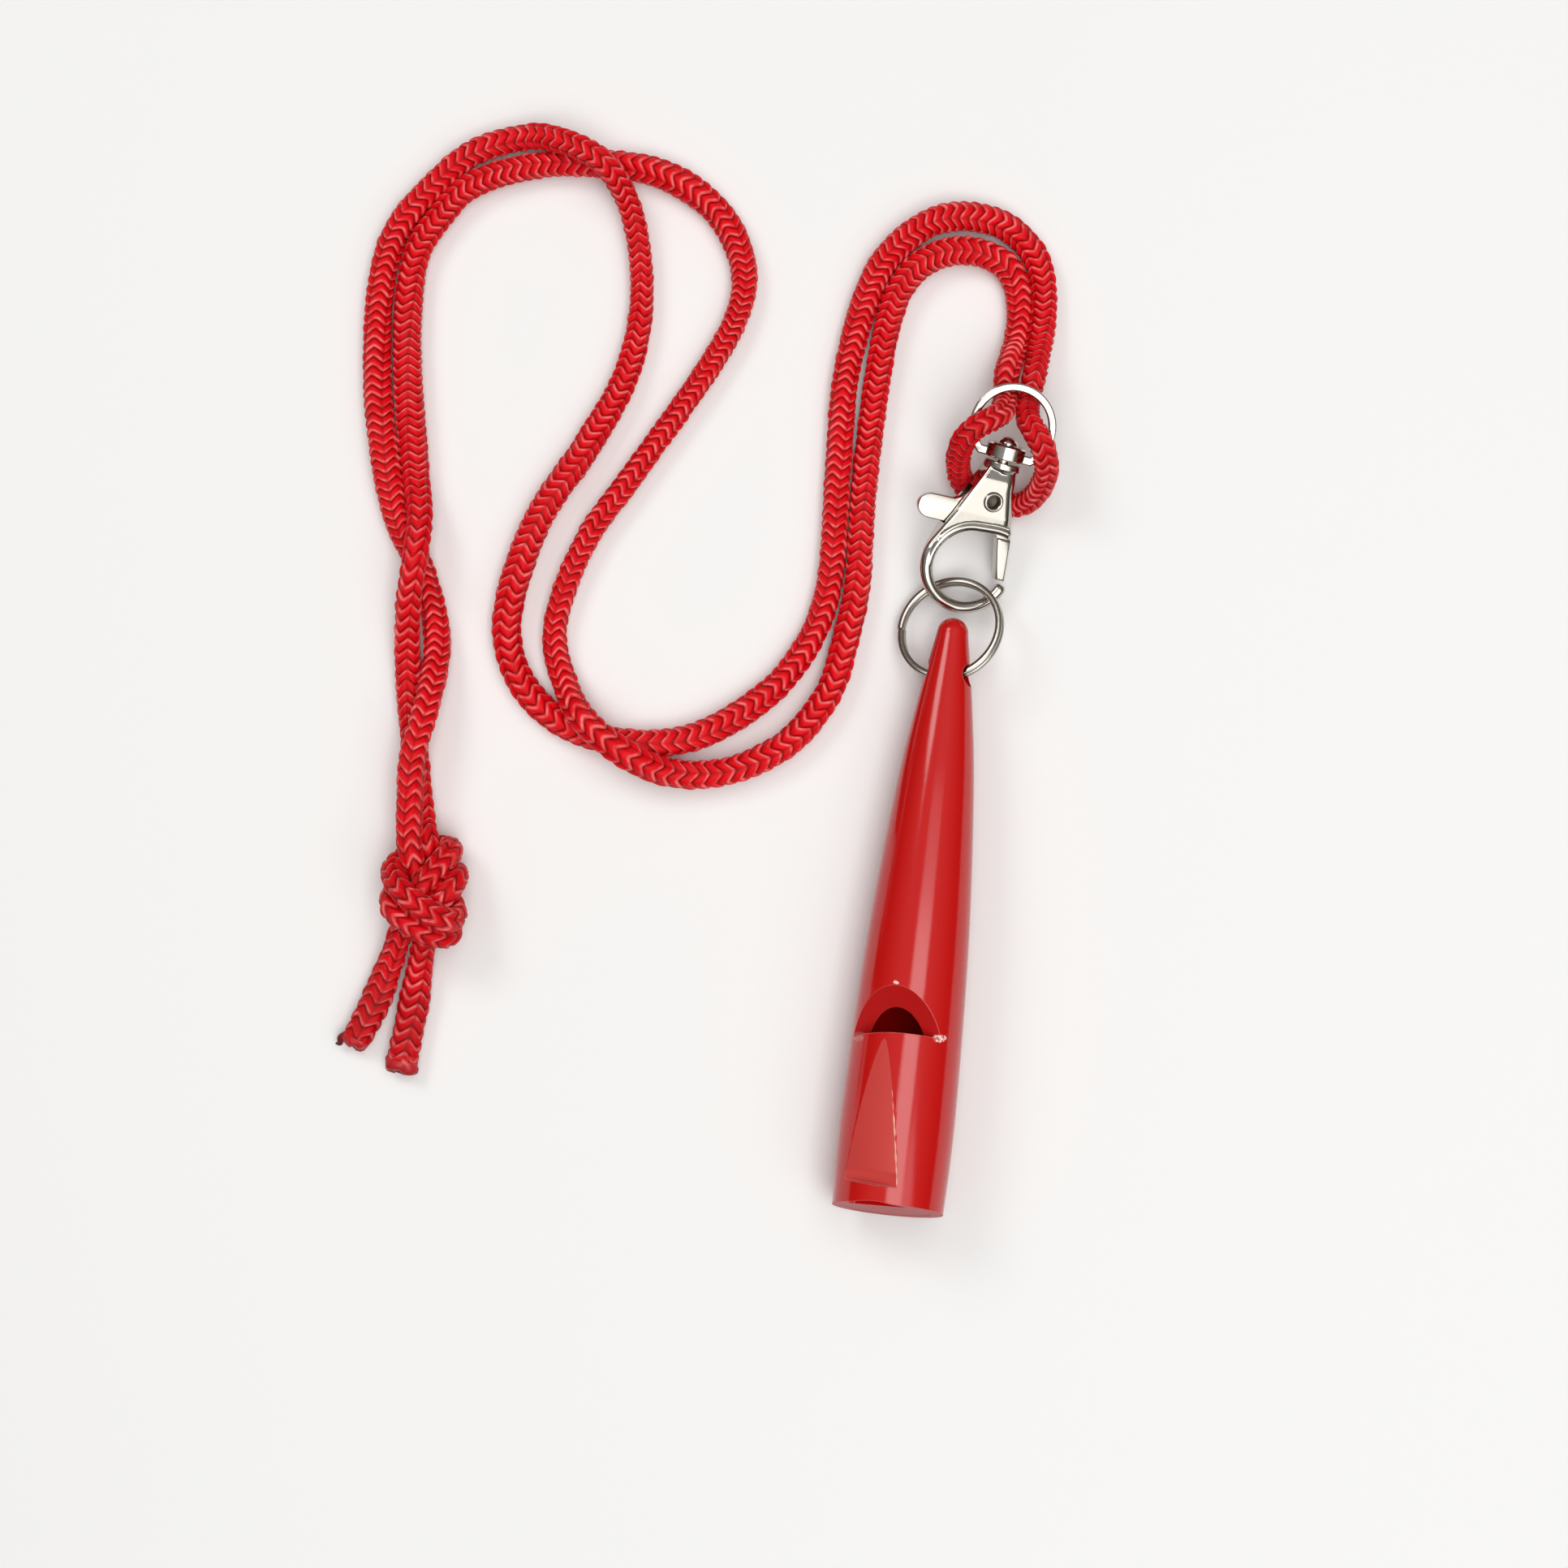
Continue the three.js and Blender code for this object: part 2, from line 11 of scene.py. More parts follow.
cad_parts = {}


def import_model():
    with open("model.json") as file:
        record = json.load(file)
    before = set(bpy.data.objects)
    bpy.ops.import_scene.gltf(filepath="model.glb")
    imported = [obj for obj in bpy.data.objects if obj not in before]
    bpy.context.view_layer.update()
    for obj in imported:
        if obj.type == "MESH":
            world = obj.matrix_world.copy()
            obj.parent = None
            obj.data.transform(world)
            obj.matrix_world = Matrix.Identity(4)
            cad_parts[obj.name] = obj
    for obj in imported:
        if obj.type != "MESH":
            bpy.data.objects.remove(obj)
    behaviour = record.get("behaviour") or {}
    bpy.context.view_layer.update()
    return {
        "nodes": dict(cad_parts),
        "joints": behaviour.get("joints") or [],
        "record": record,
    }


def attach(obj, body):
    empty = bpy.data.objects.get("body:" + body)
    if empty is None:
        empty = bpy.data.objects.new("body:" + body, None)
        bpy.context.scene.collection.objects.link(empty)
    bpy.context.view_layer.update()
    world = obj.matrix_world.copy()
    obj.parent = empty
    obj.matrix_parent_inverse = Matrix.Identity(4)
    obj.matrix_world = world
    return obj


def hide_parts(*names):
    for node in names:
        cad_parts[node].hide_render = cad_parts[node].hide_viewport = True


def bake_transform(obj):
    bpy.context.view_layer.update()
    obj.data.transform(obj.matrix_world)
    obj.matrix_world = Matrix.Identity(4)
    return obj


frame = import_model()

MM = 0.001
scene = bpy.context.scene

# Whistle, along its axis from the mouth end to the tip, with the window on +Z
WHISTLE_LENGTH = 81.1
WHISTLE_STATIONS = [(7.6, 0), (7.8, 13), (7.0, 36.6), (5.4, 57), (3.95, 68.4), (2.15, 79)]
WHISTLE_ASIDE = 0.45
TIP_ROUND = 2.1
MOUTH_REACH = 2.8
MOUTH_LEAN = 12.5
BORE_RADIUS = 5.8
BORE_DEPTH = 38.5
HOLE_RADIUS = 1.5
HOLE_SLACK = 0.45
HOLE_FROM_TIP = 7.7
WINDOW_FROM_MOUTH = 22.3
WINDOW_ROLL = -4
SILL_LEAN = 17
RAMP_LENGTH = 8.5
RAMP_DROP = 3.2
WINDWAY_HEIGHT = 1.25
WINDWAY_FLAT = BORE_RADIUS - WINDWAY_HEIGHT
RAMP_SCOOP = 1.4
LIP_RIDGE = 4.0
LIP_END = 23.6
LIP_DROP = 1.05
LIP_GROWTH = 1.35
LIP_ROLL = -11
RUBBED_SHARE = 0.66
RUBBED_ROWS = 90
RUBBED_SIDES = 10
RUBBED_SIZE = 0.11
RUBBED_WAVES = [(0.035, 0.53, 0), (0.03, 0.21, 2)]
PLUG_FIT = 0.03
PLUG_INSET = 0.02
MOUTH_SLOT_BACK = 0.85
MOUTH_SLOT_FROM = 1.0
MOUTH_SLOT_SPREAD = 4.4
CUT_REACH = 20
MOUTH_CUT = 9
BLOCK_DEPTH = 12
BLOCK_HALF = 15
SILL_BEHIND = 4
WHISTLE_CREASE = 28

# Split ring, wound twice
RING_ROLL = -23
RING_RADIUS = 7.05
RING_WIRE_WIDTH = 0.95
RING_WIRE_THICKNESS = 0.74
RING_TURN_PITCH = 0.8
RING_STEPS = 240
RING_SIDES = 20
RING_SQUARE = 0.6
RING_CROSSING = 26

# Clip, in the plane of its hook with the swivel at the top
HOOK_X = -1
HOOK_Y = -14.4
HOOK_INNER = 5
HOOK_WIRE = 1.75
HOOK_TIP_ANGLE = -16
HOOK_HALF = 0.9064
PLATE_HALF = 1.95
NECK_HALF = 2.2
NECK_Y = -0.3
SHOULDER = (2.4, -3.2)
CORNER = (3.7, -8.7)
COLLAR_RADIUS = 2.6
COLLAR_TOP = 0.5
COLLAR_FOOT = [(0.5, 0.9), (0.2, 0.35)]
COLLAR_EDGE = 0.1
LIMB_END_Y = -16.2
PLATE_DEPTHS = [(NECK_Y, 1.7), (-2, 1.95), (-7, 1.95), (-10, 1.4), (-12.5, 0.84), (-16.2, 0.3)]
FLANK_ROUND = 1.6
FLANK_SHARE = 0.9
EDGE_ROUND = 0.42
EDGE_SHARE = 0.6
PLATE_PAST = 0.2
OPENING_FAR = (9, -30)
STEP_FAR = (6, -20)
STEP_RADIUS = 6.35
STEP_HEIGHT = 1.15
STEP_EDGE = [(1.2, -7.85), (2.7, -7.95), (6, -8.4)]
HOOK_LIP_ROUND = 0.6
HOOK_LIP_HEIGHT = 0.72
HOOK_LIP_START = (0.4, 0.25)
HOOK_LIP_GROWTH = 3.2
HOOK_LIP_CORNER = (3.75, -9.6)
HOOK_LIP_EDGE = [(0.4, -9.3), (1.6, -9.25), (2.7, -9.35), (3.6, -9.6)]
PIVOT = (-0.47, -4.94)
HUB_RADIUS = 1.95
SLOT_RADIUS = 2.8
SLOT_LEFT = [(-5.6, -4.1), (-20, -3.2), (-20, -9.5), (-5.4, -9.35), (-0.6, -8.1), (-0.6, -14.4)]
SLOT_HALF = 0.9
SLOT_WALL = 0.6
LEVER_HALF = 0.6
TAB_END_X = -8.6
TAB_ROOT_X = -5.4
TAB_Y = -7.45
TAB_HALF = 1.7
LEVER_CROTCH = (0.6, -7.6)
LEVER_RIM = 0.14
LEVER_WALL = 1.2
LEVER_PLAY = 0.25
GATE_TOP = -9.2
GATE_END = -14.7
GATE_TAB_X = (1.7, 3.25, 4.4, 3.75)
GATE_HALF = 1.05
BAR_TOP = -9.7
BAR_END = -15.35
BAR_X = (1.8, 3.2, 4.5, 3.85)
BAR_RIM = 0.3
CLIP_CUT = 9
CLIP_CREASE = 40
CLIP_VOXEL = 0.085
CLIP_SMOOTHING = 7
RIVET_RADIUS = 1.05
RIVET_BORE = 0.85
RIVET_ROLL = 0.27
RIVET_PROUD = 0.14
RIVET_PLAY = 0.12
CORE_PROFILE = [(0, -0.9), (0.95, -0.9), (0.95, 0.9), (0.5, 0.78), (0, 0.7)]
EYE_RADIUS = 5.9
EYE_STRAP = 1.1
EYE_HALF_WIDTH = 0.8
EYE_CENTRE_Y = 5.5
EYE_FOOT = 0.9
EYE_BASE = 1.2
EYE_RIM = 0.24
EYE_PLAY = 0.12
BOSS_RADIUS = 2.75
BOSS_TOP = 2.95
BOSS_EDGE = 0.25
BOSS_FOOT_EDGE = 0.2
BOSS_DISH = 0.1
PIN_RADIUS = 0.9
PIN_FOOT = -1.4
PIN_PLAY = 0.1
SOCKET_HALF = 2
PIN_HEAD_FOOT = 3.05
PIN_HEAD_RADIUS = 1.45
PIN_HEAD_HEIGHT = 0.95

# Cord: one length, from one tail through the knot, a strand, the bight, the other strand and the knot again
CORD_STEP = 0.4
CORD_EASE = 12
# Along each strand from the eye to the knot: place, length of a stitch and radius, as the photograph shows
# the cord stretched or bunched
STRAND_BRAID = {
    "right": [
        (0, 1.2, 1.82), (8, 1.24, 1.82), (15, 1.42, 1.96), (26, 1.3, 2.1), (40, 1.24, 2.02),
        (52, 1.28, 1.9), (66, 1.33, 1.88), (80, 1.37, 1.87), (92, 1.54, 1.88), (108, 1.65, 2.02),
        (122, 1.8, 2.0), (140, 1.68, 2.05), (158, 1.55, 2.1), (177, 1.35, 2.03), (188, 1.34, 1.85),
        (200, 1.37, 1.67), (212, 1.4, 1.7), (227, 1.58, 1.84), (248, 1.43, 1.88), (262, 1.3, 1.95),
        (276, 1.26, 2.06), (287, 1.29, 2.1), (298, 1.33, 1.9), (318, 1.42, 1.92), (328, 1.62, 1.92),
        (338, 1.8, 1.9),
    ],
    "left": [
        (0, 1.18, 1.86), (8, 1.22, 1.82), (17, 1.45, 2.05), (27, 1.3, 2.08), (40, 1.22, 1.92),
        (60, 1.29, 1.87), (78, 1.45, 1.92), (92, 1.6, 2.0), (106, 1.7, 1.99), (122, 1.93, 2.1),
        (136, 1.76, 1.94), (146, 1.45, 1.72), (172, 1.46, 1.7), (187, 1.24, 1.7), (197, 1.1, 1.75),
        (206, 1.22, 1.96), (218, 1.55, 2.12), (228, 1.55, 2.02), (238, 1.34, 1.86), (258, 1.34, 1.88),
        (267, 1.3, 2.0), (278, 1.2, 2.1), (288, 1.18, 2.1), (297, 1.62, 1.84), (307, 1.76, 1.8),
        (318, 1.58, 1.88), (330, 1.55, 1.9), (340, 1.75, 1.9),
    ],
}
CORD_TWIST = 170
# Painted shade: how much darker the cord is painted in the knot and the bight, and on the flattened tails
TIGHT_SHADE = 0.10
TAIL_SHADE = 0.22
# Painted highlight along the upper rim of each stitch: where it lies along the stitch and how wide it is
RIM_HIGHLIGHT_AT = 0.17
RIM_HIGHLIGHT_WIDTH = 0.11
CORD_SIDES = 48
CORD_WALES = 4
CORD_LEAN = 0.62
CORD_RELIEF = 0.34
TIGHT_RADIUS = {"hitch": 1.74, "knot_first": 1.76, "knot_second": 1.76}
TIGHT_EASE = 3
CORD_SINK = 0.03
CAP_VALUE = 0.3
CORD_CREASE = 80
STITCH_UNEVEN = 0.2
STITCH_SHIFT = 0.05
STITCH = [(0.0, 0.0), (0.07, 0.5), (0.2, 0.9), (0.42, 1.0), (0.66, 0.78), (0.86, 0.42)]

# Both strands, from the eye to the knot; a point without a height lies on the table
CORD_LIES = 1.85
STRAND_RIGHT = [
    (13.5, 62.2, 2.8), (14.3, 66.9), (13.8, 73.1), (11.9, 76.6), (8.3, 79.4), (2.3, 80.5), (-2.3, 79.2),
    (-7.6, 74.5), (-10.4, 68.8), (-13.2, 57.9), (-14.2, 45.4), (-15.6, 28.6), (-18.2, 21.7), (-23.4, 15),
    (-33.6, 8.7), (-41.4, 7.7), (-48.9, 9), (-54.3, 11.9), (-58.3, 16.8), (-60, 24.1), (-55.6, 38.7),
    (-48.9, 48.7), (-43.4, 58.8), (-41.3, 69.4), (-42.8, 81.3, 3.2), (-46.6, 87.2, 6.7), (-51.4, 90, 5.2),
    (-56.5, 91.4, 2.4), (-65, 89.1), (-69.4, 85.3), (-74.8, 79.1), (-77.1, 72.3), (-77.6, 54.4),
    (-74.8, 38.1), (-71.8, 31.9, 1.8), (-69.5, 21.9, 2.2), (-70.9, 11.9, 5.3), (-72.4, 6.1, 6),
    (-72.9, -3.4, 6.2),
]
STRAND_LEFT = [
    (10.2, 62.1, 2.6), (11, 67.4), (9.9, 72.6), (7.5, 74.7), (2.8, 75.8), (-1.9, 74.5), (-5.2, 71.3),
    (-7.1, 66.7), (-10.4, 45.4), (-11.7, 28.6), (-13.3, 21.6), (-15.3, 15), (-20.5, 8.3), (-25.2, 5.4),
    (-31.3, 3.5, 1.8), (-38, 3.8, 3.4), (-44.3, 6.8, 6.2), (-49.2, 11, 5.6), (-51.8, 15.9, 2.6),
    (-53.4, 23), (-49.2, 35.4), (-42.1, 45.4), (-28.6, 65.6), (-27.1, 72.3), (-29.3, 79), (-33.2, 83.3),
    (-39.3, 86.6), (-46.8, 87.7), (-56, 87.5), (-65.2, 84.6), (-69.5, 80), (-72.3, 75.6), (-73.7, 64.4),
    (-72.5, 44.3, 2.2), (-71.6, 38.5, 4.8), (-72.1, 32.7, 6.5), (-73.1, 27.3, 5), (-73.6, 19.9, 2.2),
    (-73, 10.4, 1.8), (-71.5, -3.4, 2.6),
]
# Bight of the cord, in the frame of the eye
HITCH = [
    (-2.65, 12.1, -3.6), (-2.3, 10.4, -3.15), (-2, 9, -2.6), (-1.8, 7.8, -1.2), (-1.9, 6.9, 0.6),
    (-2.9, 6, 2.4), (-4.5, 4.9, 3.1), (-5.7, 3.1, 2.6), (-6.1, 0.9, 0.7), (-5.8, -1.5, -1.5),
    (-4.8, -3.6, -3.5), (-3, -5, -4.3), (-1, -5.6, -4.45), (1.5, -5.7, -4.45), (3.8, -5.1, -4.1),
    (5.3, -3.5, -2.6), (6, -1, -0.4), (5.8, 1.8, 1.9), (4.5, 4.1, 3), (2.9, 5.9, 2.4), (1.7, 6.9, 0.6),
    (1.5, 7.8, -1.2), (1.2, 9.1, -2.5), (1.1, 10.6, -3.1), (1.2, 12.5, -3.4),
]
# Overhand knot of the doubled cord about its own centre: middle of the pair, then half the way across it
KNOT_CENTRE = (-70.6, -13.2, 5.4)
KNOT_RADIUS = 1.58
KNOT_ROUNDS = 300
KNOT_SPACING = 0.8
KNOT_NEIGHBOURS = 6
KNOT_PUSH = 0.22
KNOT_STIFFNESS = 0.12
KNOT_STEP = 0.25
KNOT_CLEAR = 0.1
KNOT = [
    ((-1.3, 7.0, -0.8), (-0.6, 0, 1.6)), ((-0.9, 3.6, -1.0), (-0.4, 0.2, 1.6)),
    ((0.4, 0.2, -1.6), (-0.2, 0.3, 1.6)), ((2.4, -3.4, -2.0), (-0.3, 0.6, 1.5)),
    ((4.6, -5.2, -0.6), (-1.0, 1.2, 0.4)), ((3.6, -4.6, 2.2), (0.3, 1.5, 0.3)),
    ((0.4, -2.4, 3.9), (0.7, 1.4, 0.2)), ((-3.0, 0.2, 3.0), (0.8, 1.4, 0.2)),
    ((-4.9, 2.3, 0.0), (0.2, 1.6, 0.2)), ((-3.4, 4.2, -2.8), (0, 1.6, 0)),
    ((0.2, 5.2, -3.7), (0, 1.6, 0)), ((3.6, 5.6, -2.2), (-0.2, 1.6, 0)),
    ((4.9, 5.0, 0.6), (-0.5, 1.5, 0.2)), ((3.2, 3.4, 2.4), (-1.0, 1.2, 0.2)),
    ((0.6, 1.2, 1.8), (-1.1, 1.1, 0)), ((-1.4, -2.0, 0.0), (-1.4, 0.6, 0)),
    ((-2.4, -5.6, -1.2), (-1.6, 0.2, 0)), ((-3.0, -9.0, -2.5), (-1.9, 0.1, 0)),
]
TAIL_LEFT = [(-76.3, -23.2, 2.35), (-77.6, -26.9, 1.9), (-80.6, -33, 1.8)]
TAIL_RIGHT = [(-71.95, -23.4, 2.5), (-72.9, -28.6, 1.9), (-74.4, -36.1, 1.8)]
TAIL_EASE = 4
TAIL_SPREAD = 1.16
TAIL_FLATTEN = 0.88
SEAL_SIDES = 48
SEAL_CLEAR = 0.05
THREAD_SIDES = 12
THREAD_SIZE = [(0, 0.42), (0.25, 0.4), (0.6, 0.5), (0.85, 0.42), (1, 0.12)]
# Rows of the melted ends: how far out, half width, half height
SEAL_ROWS = {
    "left": [(-1.6, 1.2, 0.9), (-0.9, 1.75, 1.3), (-0.2, 1.9, 1.42), (0.5, 1.85, 1.35), (1.0, 1.6, 1.15),
             (1.3, 1.2, 0.85), (1.4, 0.6, 0.4)],
    "right": [(-1.6, 1.4, 1.0), (-0.9, 1.9, 1.35), (-0.1, 2.15, 1.45), (0.7, 2.3, 1.4), (1.3, 2.2, 1.2),
              (1.6, 1.8, 0.9), (1.7, 0.9, 0.5)],
}
BURNT_THREAD = [(0.9, -0.9, 0.2), (1.7, 0.2, 0.1), (2.1, 1.0, -0.2), (1.9, 1.7, -0.5), (2.4, 2.1, -0.7)]

# Camera straight overhead, as the photograph was taken
CAMERA_AT = (-21.67, 2.1, 406)
CAMERA_LENS = 67.18
CAMERA_SENSOR = 36
PHOTO_SIZE = 1932
PANEL_YAW = -6.5
PANEL_AT = (0.12, 0.9)
PANEL_WIDTH = 0.5
PANEL_POWER = 12.1
# The long ceiling light along the whistle: start, end, share of its power, whether it is mirrored
CEILING = [("ceiling_panel", -0.65, 0.09, 1.0, True), ("ceiling_fade", 0.09, 0.2, 0.35, True),
           ("ceiling_far", 0.09, 0.65, 0.6, False)]
SIDE_LAMPS = [("side_panel", (-0.42, 0.42, 0.6), 0.3, 1.5),
              ("front_panel", (0.35, -0.366, 0.605), 0.42, 0.9)]
# The room: its light from below to above, and what the camera sees past the table
SKY = [(0.0, (0.06, 0.05, 0.04)), (0.3, (0.20, 0.17, 0.145)), (0.62, (0.52, 0.49, 0.46)),
       (0.85, (0.85, 0.85, 0.85))]
SKY_SEEN = (1.84, 1.84, 1.82)
SKY_STRENGTH = 0.5
TABLE_HALF = 2.0
TABLE_DROP = 0.00012
TABLE_COLOUR = (0.82, 0.82, 0.81, 1)
# The table is solid out to the first distance and gone at the second
TABLE_FADE = (0.3, 0.7)


# Frames of the pieces, from the joints and mounts of the record
def unit(v):
    v = np.asarray(v, float)
    return v / np.linalg.norm(v)


def placing(origin, x, y):
    return {"at": np.asarray(origin, float) / MM, "turn": np.column_stack([x, y, np.cross(x, y)])}


def level(y):
    return unit(np.cross(y, (0, 0, 1)))


def rolled(x, y, degrees):
    angle = math.radians(degrees)
    return x * math.cos(angle) - np.cross(x, y) * math.sin(angle)


joints = {j["name"]: j for j in frame["joints"]}
mouth = next(m for m in frame["record"]["mounts"] if m["name"] == "mouth_end")
clip_axis = unit(joints["swivel_spin"]["axis"])
clip_out = -unit(joints["gate_press"]["axis"])
ring_axis = -unit(joints["ring_swing"]["axis"])
clip_frame = placing(joints["swivel_spin"]["pos_m"], np.cross(clip_axis, clip_out), clip_axis)
eye_frame = placing(joints["swivel_spin"]["pos_m"], level(clip_axis), clip_axis)
ring_side = rolled(level(ring_axis), ring_axis, RING_ROLL)
ring_frame = placing(joints["ring_swing"]["pos_m"], ring_side, ring_axis)
whistle_side = -unit(joints["whistle_swing"]["axis"])
whistle_mouth = mouth["pos_m"] + WHISTLE_ASIDE * MM * whistle_side
whistle_frame = placing(whistle_mouth, whistle_side, -unit(mouth["axis"]))


def world(place, points):
    return np.asarray(points, float) @ place["turn"].T + place["at"]


# Mesh helpers
def linked(name, data):
    obj = bpy.data.objects.new(name, data)
    scene.collection.objects.link(obj)
    return obj


def new_object(name, points, faces, finish=None):
    mesh = bpy.data.meshes.new(name)
    mesh.from_pydata(np.asarray(points, float).tolist(), [], faces)
    mesh.shade_smooth()
    if finish is not None:
        mesh.materials.append(finish.material)
    return linked(name, mesh)


def discard(*objects):
    for obj in objects:
        mesh = obj.data
        bpy.data.objects.remove(obj)
        bpy.data.meshes.remove(mesh)


def evaluated_mesh(obj):
    return bpy.data.meshes.new_from_object(obj.evaluated_get(bpy.context.evaluated_depsgraph_get()))


def apply_modifiers(obj):
    mesh = evaluated_mesh(obj)
    old = obj.data
    obj.modifiers.clear()
    obj.data = mesh
    bpy.data.meshes.remove(old)
    return obj


def cut(obj, *cutters, operation="DIFFERENCE"):
    for cutter in cutters:
        step = obj.modifiers.new("cut", "BOOLEAN")
        step.object = cutter
        step.operation = operation
        step.solver = "EXACT"
        step.material_mode = "TRANSFER"
        apply_modifiers(obj)
    discard(*cutters)
    return obj


def rounded(obj, voxel, smooth_rounds):
    remesh = obj.modifiers.new("remesh", "REMESH")
    remesh.mode = "VOXEL"
    remesh.voxel_size = voxel
    soften = obj.modifiers.new("soften", "SMOOTH")
    soften.factor = 0.5
    soften.iterations = smooth_rounds
    apply_modifiers(obj)
    obj.data.shade_smooth()
    return obj


def settle(obj, place, crease=None):
    turn = Matrix(place["turn"].tolist()).to_4x4()
    obj.data.transform(Matrix.Scale(MM, 4) @ Matrix.Translation(place["at"].tolist()) @ turn)
    obj.data.shade_smooth()
    if crease is not None:
        obj.data.set_sharp_from_angle(angle=math.radians(crease))
    return obj


def grid_faces(rows, columns, closed_rows=False):
    faces = []
    for i in range(rows if closed_rows else rows - 1):
        for j in range(columns):
            k = (j + 1) % columns
            n = (i + 1) % rows
            faces.append((i * columns + j, i * columns + k, n * columns + k, n * columns + j))
    return faces


def make_outward(obj, merge=1e-7):
    mesh = bmesh.new()
    mesh.from_mesh(obj.data)
    if merge:
        bmesh.ops.remove_doubles(mesh, verts=mesh.verts, dist=merge)
    bmesh.ops.recalc_face_normals(mesh, faces=mesh.faces)
    mesh.to_mesh(obj.data)
    mesh.free()
    obj.data.shade_smooth()
    return obj


# A tube from rows of points, closed flat at both ends
def tube(name, rows):
    count = len(rows[0])
    faces = grid_faces(len(rows), count)
    faces.append(tuple(reversed(range(count))))
    faces.append(tuple(range((len(rows) - 1) * count, len(rows) * count)))
    return new_object(name, np.vstack(rows), faces)


def mark(obj, label, values):
    attribute = obj.data.attributes.new(label, "FLOAT", "POINT")
    attribute.data.foreach_set("value", np.asarray(values, np.float32))


# A turned piece about Y, from points of radius and height, first and last on the axis or meeting each other
def turned(name, profile, sides=96, closed=False, finish=None):
    points = []
    for radius, y in profile:
        reach = max(radius, 0)
        points += [(reach * math.sin(a), y, reach * math.cos(a)) for a in around(sides)]
    faces = grid_faces(len(profile), sides, closed)
    return make_outward(new_object(name, points, faces, finish), merge=1e-5)


def rod(name, radius, low, high, sides=96, finish=None):
    return turned(name, [(0, low), (radius, low), (radius, high), (0, high)], sides, finish=finish)


def arc(centre, radius, start, end, steps):
    angles = np.radians(np.linspace(start, end, steps))
    return [(centre[0] + radius * math.cos(a), centre[1] + radius * math.sin(a)) for a in angles]


# A prism from an outline in X and Y between two heights, or turned to have its outline in Y and Z
def prism(name, outline, low, high, axis="Z", finish=None):
    n = len(outline)
    points = [(x, y, z) for z in (low, high) for x, y in outline]
    if axis == "X":
        points = [(z, x, y) for x, y, z in points]
    faces = [tuple(reversed(range(n))), tuple(range(n, 2 * n))]
    faces += [(i, (i + 1) % n, n + (i + 1) % n, n + i) for i in range(n)]
    return make_outward(new_object(name, points, faces, finish), merge=0)


# A plate with rounded rims, from an outline and holes in X and Y
def rim_plate(name, outlines, half, rim):
    curve = bpy.data.curves.new(name, "CURVE")
    curve.dimensions = "2D"
    curve.fill_mode = "BOTH"
    curve.extrude = half - rim
    curve.bevel_depth = rim
    curve.bevel_resolution = 3
    curve.offset = -rim
    for outline in outlines:
        spline = curve.splines.new("POLY")
        spline.points.add(len(outline) - 1)
        for point, (x, y) in zip(spline.points, outline):
            point.co = (x, y, 0, 1)
        spline.use_cyclic_u = True
    holder = linked(name + "_outline", curve)
    mesh = evaluated_mesh(holder)
    bpy.data.objects.remove(holder)
    bpy.data.curves.remove(curve)
    return make_outward(linked(name, mesh), merge=1e-5)


# Curves through points
def between(a, b, ta, tb, t):
    return ((tb - t) * a + (t - ta) * b) / (tb - ta)


def spline(points, per_span):
    points = np.asarray(points, float)
    ends = np.vstack([2 * points[0] - points[1], points, 2 * points[-1] - points[-2]])
    knots = np.concatenate([[0], np.cumsum(np.sqrt(np.linalg.norm(np.diff(ends, axis=0), axis=1)))])
    out = []
    for i in range(1, len(ends) - 2):
        a, b, c, d = ends[i - 1:i + 3]
        ta, tb, tc, td = knots[i - 1:i + 3]
        t = np.linspace(tb, tc, per_span, endpoint=False)[:, None]
        bc = between(b, c, tb, tc, t)
        abc = between(between(a, b, ta, tb, t), bc, ta, tc, t)
        bcd = between(bc, between(c, d, tc, td, t), tb, td, t)
        out.append(between(abc, bcd, tb, tc, t))
    out.append(points[-1:])
    return np.vstack(out)


def around(sides):
    return np.arange(sides) * 2 * math.pi / sides


def reach_along(points):
    return np.concatenate([[0], np.cumsum(np.linalg.norm(np.diff(points, axis=0), axis=1))])


def even(points, step):
    reach = reach_along(points)
    at = np.linspace(0, reach[-1], max(2, round(reach[-1] / step) + 1))
    return np.column_stack([np.interp(at, reach, points[:, k]) for k in range(3)])


def eased(points, rounds):
    points = points.copy()
    for _ in range(rounds):
        points[1:-1] += 0.5 * ((points[:-2] + points[2:]) / 2 - points[1:-1])
    return points


# Materials
# Patches of the painted highlight on the rims of the cord's stitches
HIGHLIGHT_PATCHES = [(0.35, (0.15, 0.15, 0.15)), (0.62, (0.95, 0.95, 0.95))]


